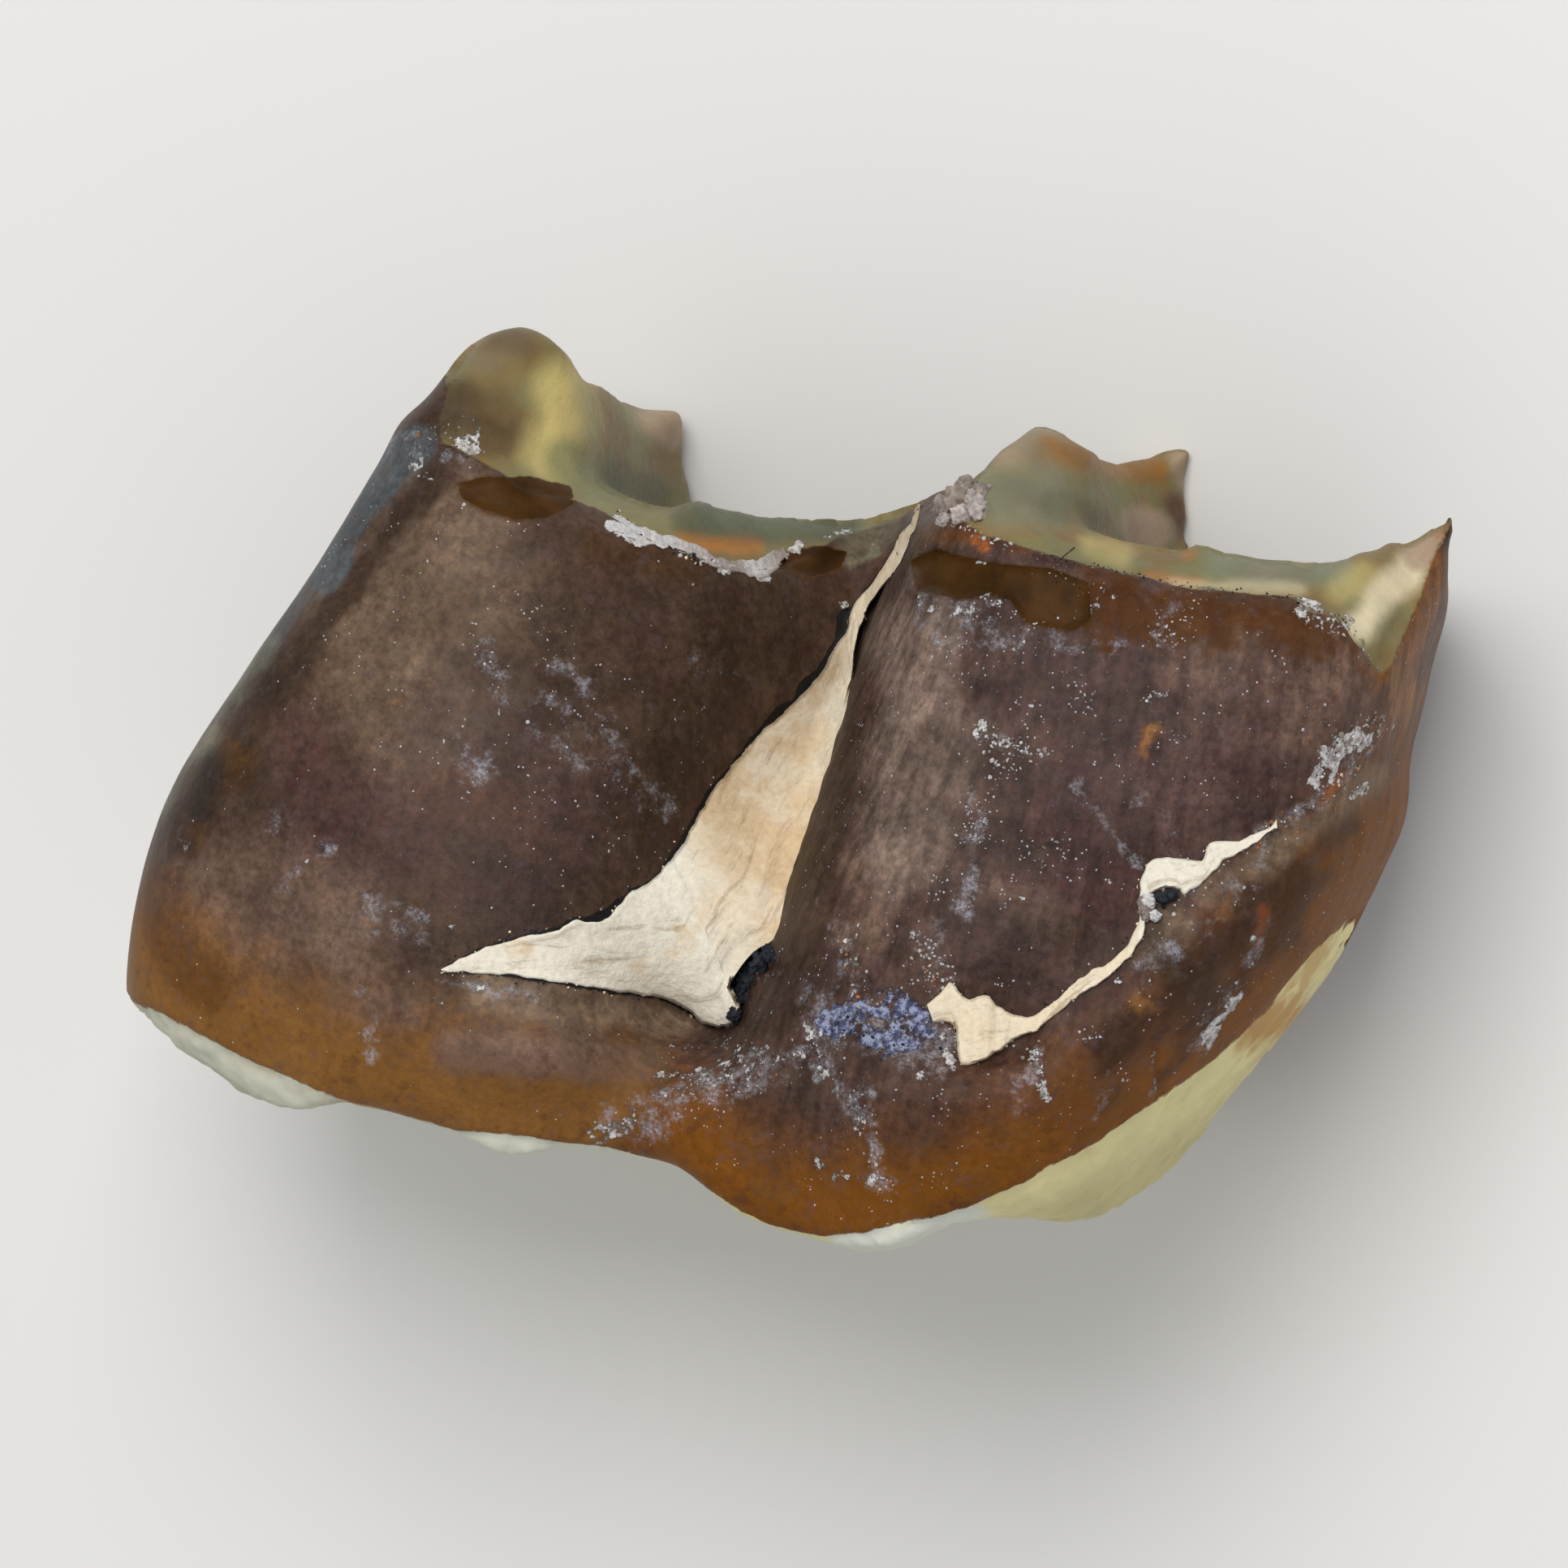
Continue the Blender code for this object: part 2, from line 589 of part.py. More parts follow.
def main():
    """Builds the tooth."""
    for item in list(bpy.data.objects):
        bpy.data.objects.remove(item)
    crown = make_crown()
    groove_sediment = make_groove_sediment(crown)
    cingulum_sediment = make_cingulum_sediment(crown)
    enamel = material("enamel", ENAMEL_COLOUR, ENAMEL_ROUGHNESS)
    groove_rock = material("groove_rock", SEDIMENT_COLOUR, SEDIMENT_ROUGHNESS)
    cingulum_rock = material("cingulum_rock", SEDIMENT_COLOUR, SEDIMENT_ROUGHNESS)
    finish(crown, "tooth_crown", enamel)
    finish(groove_sediment, "groove_sediment", groove_rock)
    finish(cingulum_sediment, "cingulum_sediment", cingulum_rock)


main()
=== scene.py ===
"""A fossil lower cheek tooth of a running rhino, dressed and laid on a pale floor in soft light.

Directions on the tooth are in millimetres: m runs forward along the jaw, l towards the tongue
and h up the crown. The model has X forward, Y up the crown and Z towards the cheek, in metres.
Marks on the cheek side are placed on the sight plane, which is the plane l = 0 met by lines
that run straight towards the camera.
"""
import itertools
import logging
import math
from collections.abc import Callable
from dataclasses import dataclass, field
from enum import Enum, IntEnum

import bpy
import numpy as np
from mathutils import Matrix, Vector
from mathutils.bvhtree import BVHTree


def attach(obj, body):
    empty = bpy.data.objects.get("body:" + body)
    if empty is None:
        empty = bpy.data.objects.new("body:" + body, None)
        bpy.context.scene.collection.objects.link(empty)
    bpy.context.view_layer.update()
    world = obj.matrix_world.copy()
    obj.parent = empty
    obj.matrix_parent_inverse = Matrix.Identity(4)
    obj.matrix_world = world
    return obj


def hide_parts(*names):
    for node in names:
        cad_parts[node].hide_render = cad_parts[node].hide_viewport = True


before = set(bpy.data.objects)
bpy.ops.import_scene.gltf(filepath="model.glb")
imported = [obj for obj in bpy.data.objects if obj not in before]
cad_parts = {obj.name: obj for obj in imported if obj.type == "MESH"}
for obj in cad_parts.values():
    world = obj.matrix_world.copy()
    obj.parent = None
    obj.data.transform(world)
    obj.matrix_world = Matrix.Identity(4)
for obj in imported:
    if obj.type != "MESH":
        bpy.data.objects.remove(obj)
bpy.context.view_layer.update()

Colour = tuple[float, float, float]
Place = tuple[float, float]
Path = tuple[Place, ...]

MM = 0.001
PAINT_REACH = 0.5
LATTICE_PRIMES = (73856093, 19349663, 83492791)
SEED_PRIME = 265443576
HASH_PRIME = 1274126177
NEIGHBOURS = ((1, 0), (-1, 0), (0, 1), (0, -1))
LOG = logging.getLogger("tooth")


class Tint(Enum):
    """Colours of the tooth, the rock and the minerals, in linear light."""

    CHOCOLATE = (0.070, 0.040, 0.026)
    PURPLE_BROWN = (0.072, 0.040, 0.034)
    DEEP_BROWN = (0.044, 0.025, 0.015)
    RED_BROWN = (0.115, 0.052, 0.030)
    WINE = (0.072, 0.030, 0.028)
    # TAUPE is a real stain colour in most marks, and on the rear lobe it is also painted sheen.
    TAUPE = (0.195, 0.132, 0.085)
    # Painted sheen, a light patch standing in for a reflection.
    SHEEN_GREY = (0.210, 0.150, 0.118)
    PINK_TAUPE = (0.180, 0.112, 0.080)
    CARAMEL = (0.235, 0.105, 0.026)
    ORANGE_BROWN = (0.200, 0.070, 0.007)
    CHIP_BROWN = (0.062, 0.026, 0.005)
    CHIP_AMBER = (0.080, 0.028, 0.005)
    NEAR_BLACK = (0.013, 0.012, 0.012)
    # Painted rim light along the rear lobe's left edge.
    BLUE_GREY = (0.066, 0.078, 0.086)
    GREEN_GREY = (0.190, 0.215, 0.155)
    LOPH_GREEN = (0.200, 0.205, 0.095)
    LOPH_OLIVE = (0.220, 0.150, 0.060)
    LOPH_YELLOW = (0.640, 0.520, 0.200)
    LOPH_ORANGE = (0.260, 0.120, 0.025)
    LOPH_PINK = (0.400, 0.290, 0.200)
    LOPH_GREY = (0.190, 0.175, 0.120)
    # Painted shade for the lower loph walls.
    LOPH_DARK = (0.075, 0.085, 0.050)
    CREST_CREAM = (0.760, 0.660, 0.440)
    SPIRE_PINK = (0.420, 0.230, 0.110)
    DENTINE = (0.690, 0.620, 0.330)
    DENTINE_GREY = (0.720, 0.730, 0.640)
    DENTINE_GREEN = (0.375, 0.355, 0.260)
    STAIN_ORANGE = (0.420, 0.170, 0.035)
    RUST = (0.300, 0.080, 0.018)
    DUST = (0.480, 0.480, 0.500)
    VIOLET = (0.180, 0.180, 0.300)
    ROCK_CREAM = (0.850, 0.720, 0.520)
    ROCK_WHITE = (0.880, 0.820, 0.690)
    ROCK_PEACH = (0.760, 0.560, 0.340)
    ROCK_TAN = (0.430, 0.270, 0.125)
    CRYSTAL_WHITE = (0.560, 0.545, 0.540)
    CRYSTAL_PINK = (0.400, 0.350, 0.330)
    CRYSTAL_GREY = (0.260, 0.215, 0.188)
    CRYSTAL_RUST = (0.420, 0.150, 0.050)
    CRYSTAL_GREEN = (0.420, 0.430, 0.330)
    MINERAL_BLACK = (0.016, 0.020, 0.026)
    MINERAL_TEAL = (0.060, 0.075, 0.082)
    HUE_PURPLE = (0.110, 0.070, 0.075)
    HUE_RED = (0.070, 0.022, 0.010)
    TONE_TAN = (0.115, 0.080, 0.050)
    TONE_WINE = (0.060, 0.022, 0.022)
    VIOLET_DEEP = (0.055, 0.065, 0.150)
    VIOLET_PALE = (0.330, 0.370, 0.520)
    CRUST_GREY = (0.340, 0.320, 0.310)
    CRUST_WHITE = (0.700, 0.680, 0.670)
    DUST_FILM = (0.400, 0.400, 0.450)
    SPECK = (0.520, 0.510, 0.540)
    FLOOR = (0.840, 0.835, 0.820)
    SKY = (0.970, 0.980, 1.000)
    LAMP = (1.000, 0.985, 0.960)


class Seed(IntEnum):
    """Tells the noises from one another."""

    RIPPLE = 3
    HIDDEN_RIPPLE = 5
    FINE = 7
    HIDDEN_FINE = 9
    FOOT = 11
    GROWTH = 23
    SWELL = 31
    DENTINE = 41
    ROCK_LUMPS = 51
    ROCK_FINES = 57
    ROCK_RIM = 61
    ROCK_TINT = 71
    CRYSTAL = 80
    CRYSTAL_FINES = 90
    ROCK_EDGE = 101


@dataclass(frozen=True)
class ToothFrame:
    """The tooth's own directions and how they lie in the model."""

    centre_m: float = 9.8
    centre_h: float = 5.25
    rest_l: float = 12.78
    sight_m: float = 0.253
    sight_l: float = -0.945
    sight_h: float = 0.208
    reach: float = 30.0

    @property
    def towards_camera(self) -> Vector:
        """Direction to the camera in the model."""
        return Vector((self.sight_m, self.sight_h, -self.sight_l)).normalized()

    def model(self, m: float, l: float, h: float) -> Vector:
        """The model's point, in metres, for a place on the tooth."""
        return Vector((m - self.centre_m, h - self.centre_h, self.rest_l - l)) * MM

    def tooth(self, points: np.ndarray) -> tuple[np.ndarray, np.ndarray, np.ndarray]:
        """Forward, tongueward and up-the-crown places of model points.

        Args:
            points: n by 3 model points in metres.

        Returns:
            Three arrays in millimetres.
        """
        scaled = points / MM
        return (
            scaled[:, 0] + self.centre_m,
            self.rest_l - scaled[:, 2],
            scaled[:, 1] + self.centre_h,
        )

    def sight(self, points: np.ndarray) -> np.ndarray:
        """Places on the sight plane that model points are seen at.

        Args:
            points: n by 3 model points in metres.

        Returns:
            n by 2 places in millimetres.
        """
        m, l, h = self.tooth(points)
        slide = -l / self.sight_l
        return np.stack((m + self.sight_m * slide, h + self.sight_h * slide), axis=1)


TOOTH = ToothFrame()


def ramp(value: np.ndarray, low: float, high: float) -> np.ndarray:
    """Smooth step from 0 at low to 1 at high."""
    share = np.clip((value - low) / (high - low), 0.0, 1.0)
    return share * share * (3.0 - 2.0 * share)


def lattice_noise(points: np.ndarray, grain: float, seed: int) -> np.ndarray:
    """Smooth noise between -1 and 1.

    Args:
        points: n by k places in millimetres.
        grain: Size of its lumps in millimetres.
        seed: Tells one noise from another.

    Returns:
        One value for each point.
    """
    scaled = points / grain + 17.3 * seed
    cell = np.floor(scaled).astype(np.int64)
    share = scaled - cell
    share = share * share * (3.0 - 2.0 * share)
    primes = np.array(LATTICE_PRIMES)[: points.shape[1]]
    total = np.zeros(len(points))
    for corner in itertools.product((0, 1), repeat=points.shape[1]):
        offset = np.array(corner)
        weight = np.prod(np.where(offset, share, 1.0 - share), axis=1)
        key = ((cell + offset) * primes).sum(axis=1) ^ (seed * SEED_PRIME)
        key = (key ^ (key >> 13)) * HASH_PRIME
        total += weight * (((key ^ (key >> 16)) & 0xFFFF) / 32767.5 - 1.0)
    return total


def layered_noise(points: np.ndarray, grain: float, seed: int, layers: int = 4) -> np.ndarray:
    """Noise with finer layers added to it.

    Args:
        points: n by k places in millimetres.
        grain: Size of the coarsest lumps in millimetres.
        seed: Tells one noise from another.
        layers: Number of layers.

    Returns:
        One value for each point, mostly between -1 and 1.
    """
    total = np.zeros(len(points))
    for layer in range(layers):
        total += lattice_noise(points, grain / 2.0**layer, seed + layer) / 1.6**layer
    return total / 1.5


def path_distance(places: np.ndarray, path: Path | np.ndarray) -> np.ndarray:
    """Distance of places to a path of straight stretches.

    Args:
        places: n by 2 places in millimetres.
        path: The path's points; one point alone is a spot.

    Returns:
        Distances in millimetres.
    """
    points = np.array(path)
    if len(points) == 1:
        return np.linalg.norm(places - points[0], axis=1)
    best = np.full(len(places), 1e9)
    for start, end in zip(points, points[1:]):
        along = end - start
        if not along.any():
            continue
        share = np.clip((places - start) @ along / (along @ along), 0.0, 1.0)
        nearest = start + share[:, None] * along
        best = np.minimum(best, np.linalg.norm(places - nearest, axis=1))
    return best


def area_distance(places: np.ndarray, outline: Path) -> np.ndarray:
    """Distance to a closed outline, below zero inside it.

    Args:
        places: n by 2 places in millimetres.
        outline: The outline's corners in order.

    Returns:
        Signed distances in millimetres.
    """
    closed = outline + outline[:1]
    distance = path_distance(places, closed)
    inside = np.zeros(len(places), dtype=bool)
    for (x0, y0), (x1, y1) in zip(closed, closed[1:]):
        spans = (y0 > places[:, 1]) != (y1 > places[:, 1])
        rise = y1 - y0 if y1 != y0 else 1e-9
        cross = x0 + (places[:, 1] - y0) * (x1 - x0) / rise
        inside ^= spans & (places[:, 0] < cross)
    return np.where(inside, -distance, distance)


def read_curve(path: Path, at: np.ndarray) -> np.ndarray:
    """Second coordinates read off a path at the given first ones."""
    points = np.array(path)
    return np.interp(at, points[:, 0], points[:, 1])


def even_path(path: Path, count: int) -> np.ndarray:
    """Evenly spaced points along a path.

    Args:
        path: The path's points.
        count: Number of points wanted.

    Returns:
        count by 2 places.
    """
    points = np.array(path)
    steps = np.linalg.norm(np.diff(points, axis=0), axis=1)
    walked = np.concatenate(((0.0,), np.cumsum(steps)))
    wanted = np.linspace(0.0, walked[-1], count)
    return np.stack([np.interp(wanted, walked, points[:, k]) for k in (0, 1)], axis=1)


def rounded(path: Path, cuts: int = 6) -> Path:
    """A path with its corners rounded, through the same points.

    Args:
        path: The path's points.
        cuts: Number of stretches between two points.

    Returns:
        The rounder path.
    """
    points = np.array(path)
    wide = np.concatenate((points[:1], points, points[-1:]))
    found = []
    for before, start, end, after in zip(wide, wide[1:], wide[2:], wide[3:]):
        for share in np.linspace(0.0, 1.0, cuts, endpoint=False):
            bend = 2 * before - 5 * start + 4 * end - after
            turn = 3 * start - before - 3 * end + after
            spot = 2 * start + (end - before) * share + bend * share**2 + turn * share**3
            found.append(tuple(spot * 0.5))
    return tuple(found) + (tuple(points[-1]),)


def plain(tint: Tint, count: int) -> np.ndarray:
    """One tint for each of a number of points."""
    return np.tile(np.array(tint.value), (count, 1))


def mixed(colours: np.ndarray, tint: Tint, weight: np.ndarray) -> np.ndarray:
    """Colours moved towards one tint by a weight for each point."""
    return colours + (np.array(tint.value) - colours) * weight[:, None]


def edge_paint(distance: np.ndarray) -> np.ndarray:
    """Distance to an edge, cut off where the paint no longer needs it."""
    return np.clip(distance, -PAINT_REACH, PAINT_REACH)


def shifted(path: Path, right: float, up: float) -> Path:
    """The path, moved on the sight plane."""
    return tuple((m + right, h + up) for m, h in path)


def pairs(*numbers: float) -> Path:
    """A path from its coordinates, forward and up in turn."""
    return tuple(zip(numbers[::2], numbers[1::2]))


class Outlines:
    """Edges seen on the cheek side, as paths on the sight plane."""

    fill_right: Path = pairs(
        11.1, 2.2, 11.1, 2.54, 10.91, 2.81, 10.98, 3.11, 11.19, 3.48, 11.51, 3.84, 11.56, 4.76, 11.8,
        6.18, 11.98, 7.6, 12.12, 9.02, 12.16, 9.27, 12.2, 9.5, 12.35, 9.78, 12.49, 10.06, 12.59, 10.3,
        12.66, 10.54, 12.72, 10.85, 12.74, 11.26,
    )
    fill_foot: Path = pairs(
        6.27, 2.05, 6.34, 2.02, 7.02, 2.14, 7.82, 2.22, 8.55, 2.27, 9.28, 2.31, 9.84, 2.39, 10.31,
        2.29, 10.75, 2.13, 11.1, 2.2,
    )
    fill_left: Path = pairs(
        6.27, 2.05, 6.83, 2.52, 7.5, 2.89, 7.99, 3.12, 8.27, 3.35, 8.74, 3.47, 8.94, 3.73, 9.1, 4,
        9.46, 4.28, 9.88, 5.2, 10.16, 5.95, 10.69, 6.89, 11.47, 8.02, 11.89, 8.99, 11.86, 9.15, 11.9,
        9.32, 12.02, 9.6, 12.13, 9.78, 12.29, 10.1, 12.41, 10.4, 12.51, 10.69, 12.61, 10.96, 12.7,
        11.3,
    )
    seam_top: Path = pairs(
        14.24, 3.3, 14.43, 3.52, 14.59, 3.78, 14.79, 3.61, 14.92, 3.53, 15.25, 3.68, 15.43, 3.53,
        15.74, 3.45, 16.01, 3.52, 16.44, 3.98, 16.85, 4.48, 17.02, 4.57, 17.3, 5, 17.46, 5.45, 17.34,
        6.09, 17.48, 6.4, 17.87, 6.55, 18.28, 6.58, 18.39, 6.93, 18.93, 7.07, 19.41, 7.51,
    )
    seam_low: Path = pairs(
        14.37, 3.11, 14.67, 3.18, 14.8, 2.91, 14.97, 2.54, 15.32, 2.73, 15.6, 2.96, 16.06, 3.38, 16.46,
        3.85, 16.89, 4.29, 17.18, 4.61, 17.5, 5.17, 17.52, 5.6, 17.6, 5.98, 17.93, 6.1, 18.08, 6.02,
        18.32, 6.32, 18.67, 6.8, 19.02, 7.08, 19.41, 7.47,
    )
    fill: Path = fill_foot + fill_right[1:] + fill_left[::-1]
    seam: Path = seam_low + seam_top[::-1]
    enamel_foot: Path = pairs(
        -1, 1.4, 0.78, 0.65, 1.22, 0.31, 1.8, 0.28, 2.42, 0.11, 3.21, -0.09, 3.94, -0.24, 5.14, -0.44,
        6.02, -0.54, 6.95, -0.46, 7.57, -0.37, 8.12, -0.3, 8.67, -0.26, 9.31, -0.19, 9.83, -0.2, 10.58,
        -0.24, 11.63, -0.62, 12.21, -0.77, 13.16, -0.77, 13.98, -0.46, 15.02, 0, 15.63, 0.36, 16.42,
        0.93, 16.65, 1.18, 17.46, 1.83, 18.05, 2.41, 18.67, 3.05, 19.41, 3.86, 19.88, 4.56, 20.22, 5.3,
        20.75, 5.97, 21.21, 6.49, 21.49, 7.04, 22.36, 8.34,
    )
    rear_rim: Path = pairs(
        4.6, 10.45, 5.1, 10.39, 6.07, 10.08, 7.19, 10.05, 8.37, 9.7, 9.79, 9.59, 10.54, 9.7, 11.58,
        10.51, 12.7, 11.24,
    )
    front_rim: Path = pairs(
        13.2, 11.3, 13.8, 10.95, 15.01, 10.9, 15.84, 10.92, 17.1, 10.88, 19.1, 11.17, 19.2, 11, 19.85,
        10.98, 20.72, 10.14,
    )
    cheek_foot: Path = pairs(
        0, -0.2, 4.5, -0.35, 10, -0.3, 13, -0.88, 14.8, -0.16, 16.4, 0.96, 17.6, 2.04, 18.7, 3.27,
        19.2, 4.47, 19.74, 5.28,
    )
    tongue_foot: Path = pairs(
        0, 0.5, 4, -0.1, 8, 0.4, 12, -0.2, 15, 0.1, 17, 1.2, 18.7, 2.6, 19.7, 4.6,
    )
    crack: Path = pairs(18, 3.62, 18.1, 3.2, 18.31, 2.69)
    crust_low: Path = pairs(
        7.69, 9.75, 7.96, 9.65, 8.29, 9.51, 8.46, 9.64, 8.94, 9.61, 9.45, 9.5, 9.88, 9.47,
        10.37, 9.46, 10.68, 9.89,
    )
    crust_high: Path = pairs(
        7.67, 9.88, 7.98, 9.95, 8.34, 9.85, 8.9, 9.85, 9.41, 9.72, 9.84, 9.7, 10.17, 9.77,
        10.42, 9.94, 10.56, 10.11,
    )
    rear_loph: Path = rear_rim + (
        (12.8, 12.5), (8.0, 14.0), (4.6, 13.5), (4.2, 12.3), (4.7, 11.3),
    )
    front_loph: Path = front_rim + (
        (20.92, 10.9), (21.2, 12.0), (21.6, 13.3), (18.0, 14.0), (13.0, 13.6), (13.0, 12.0),
    )


@dataclass
class Surface:
    """A mesh's surface, as lines of sight and other rays meet it."""

    item: bpy.types.Object
    clearance: float = 0.03
    tree: BVHTree = field(init=False)

    def __post_init__(self) -> None:
        """Reads the mesh of the object, which sits at the origin."""
        corners = [v.co.copy() for v in self.item.data.vertices]
        faces = [tuple(p.vertices) for p in self.item.data.polygons]
        self.tree = BVHTree.FromPolygons(corners, faces)

    def hit(self, m: float, h: float) -> tuple[Vector | None, Vector | None]:
        """First point and normal that a line of sight meets.

        Args:
            m: Forward place on the sight plane.
            h: Place up the crown on the sight plane.

        Returns:
            The point and the normal, or None twice.
        """
        towards = TOOTH.towards_camera
        start = TOOTH.model(m, 0.0, h) + towards * TOOTH.reach * MM
        point, normal, _, _ = self.tree.ray_cast(start, -towards)
        return point, normal

    def near_hit(self, m: float, h: float, reach: float = 0.15, drop: float = 0.6) -> Vector | None:
        """The point met at a place, unless the surface right beside it lies far in front.

        Args:
            m: Forward place on the sight plane.
            h: Place up the crown on the sight plane.
            reach: How far beside the place the surface is tried.
            drop: The depth that counts as far.

        Returns:
            The point, or None.
        """
        beside = ((m, h), (m - reach, h), (m + reach, h), (m, h - reach))
        found = self.depths(np.array(beside))
        if np.isnan(found[0]) or found[0] < np.nanmax(found) - drop:
            return None
        return self.hit(m, h)[0]

    def depths(self, places: np.ndarray) -> np.ndarray:
        """How far in front of the sight plane the surface lies.

        Args:
            places: n by 2 places on the sight plane.

        Returns:
            Distances towards the camera in millimetres, not a number off the surface.
        """
        towards = TOOTH.towards_camera
        found = np.full(len(places), np.nan)
        for k, (m, h) in enumerate(places):
            point, _ = self.hit(m, h)
            if point is not None:
                found[k] = (point - TOOTH.model(m, 0.0, h)).dot(towards) / MM
        return found

    def shows(self, points: np.ndarray, normals: np.ndarray) -> np.ndarray:
        """Which points of the surface the camera sees.

        Args:
            points: n by 3 model points on the surface.
            normals: n by 3 normals there.

        Returns:
            True for each point that is in sight.
        """
        towards = TOOTH.towards_camera
        seen = normals @ np.array(towards) > 0.0
        for k in np.nonzero(seen)[0]:
            off = Vector(normals[k]) * self.clearance * MM
            start = Vector(points[k]) + off + towards * self.clearance * MM
            seen[k] = self.tree.ray_cast(start, towards)[0] is None
        return seen


@dataclass(frozen=True)
class Mark:
    """One soft patch on the cheek side."""

    reach: float
    softness: float
    amount: float
    wobble: float
    path: Path
    filled: bool = False
    tint: Tint = Tint.DUST

    def weight(self, places: np.ndarray, ripple: np.ndarray) -> np.ndarray:
        """How strongly the mark shows at each place.

        Args:
            places: n by 2 places on the sight plane.
            ripple: Noise that makes its edge uneven.

        Returns:
            Weights from 0 to the mark's amount.
        """
        measure = area_distance if self.filled else path_distance
        distance = measure(places, self.path) + ripple * self.wobble
        return self.amount * (1.0 - ramp(distance, self.reach, self.reach + self.softness))


def marks(*rows: tuple[float, ...], filled: bool = False) -> tuple[Mark, ...]:
    """Marks from rows of reach, softness, amount and wobble, then the path's coordinates."""
    return tuple(Mark(*row[:4], pairs(*row[4:]), filled) for row in rows)


def stains(*rows: tuple, filled: bool = False) -> tuple[Mark, ...]:
    """Marks from rows that start with their tint, and then go on as above."""
    return tuple(Mark(*row[1:5], pairs(*row[5:]), filled, row[0]) for row in rows)


def stained(colours: np.ndarray, laid: tuple[Mark, ...], places: np.ndarray,
            ripple: np.ndarray) -> np.ndarray:
    """Colours with marks laid over them, one after another."""
    for mark in laid:
        colours = mixed(colours, mark.tint, mark.weight(places, ripple))
    return colours


def strongest(base: np.ndarray, laid: tuple[Mark, ...], places: np.ndarray,
              ripple: np.ndarray) -> np.ndarray:
    """The greatest of a base weight and the weights of marks, at each place."""
    return np.maximum.reduce([base, *(mark.weight(places, ripple) for mark in laid)])


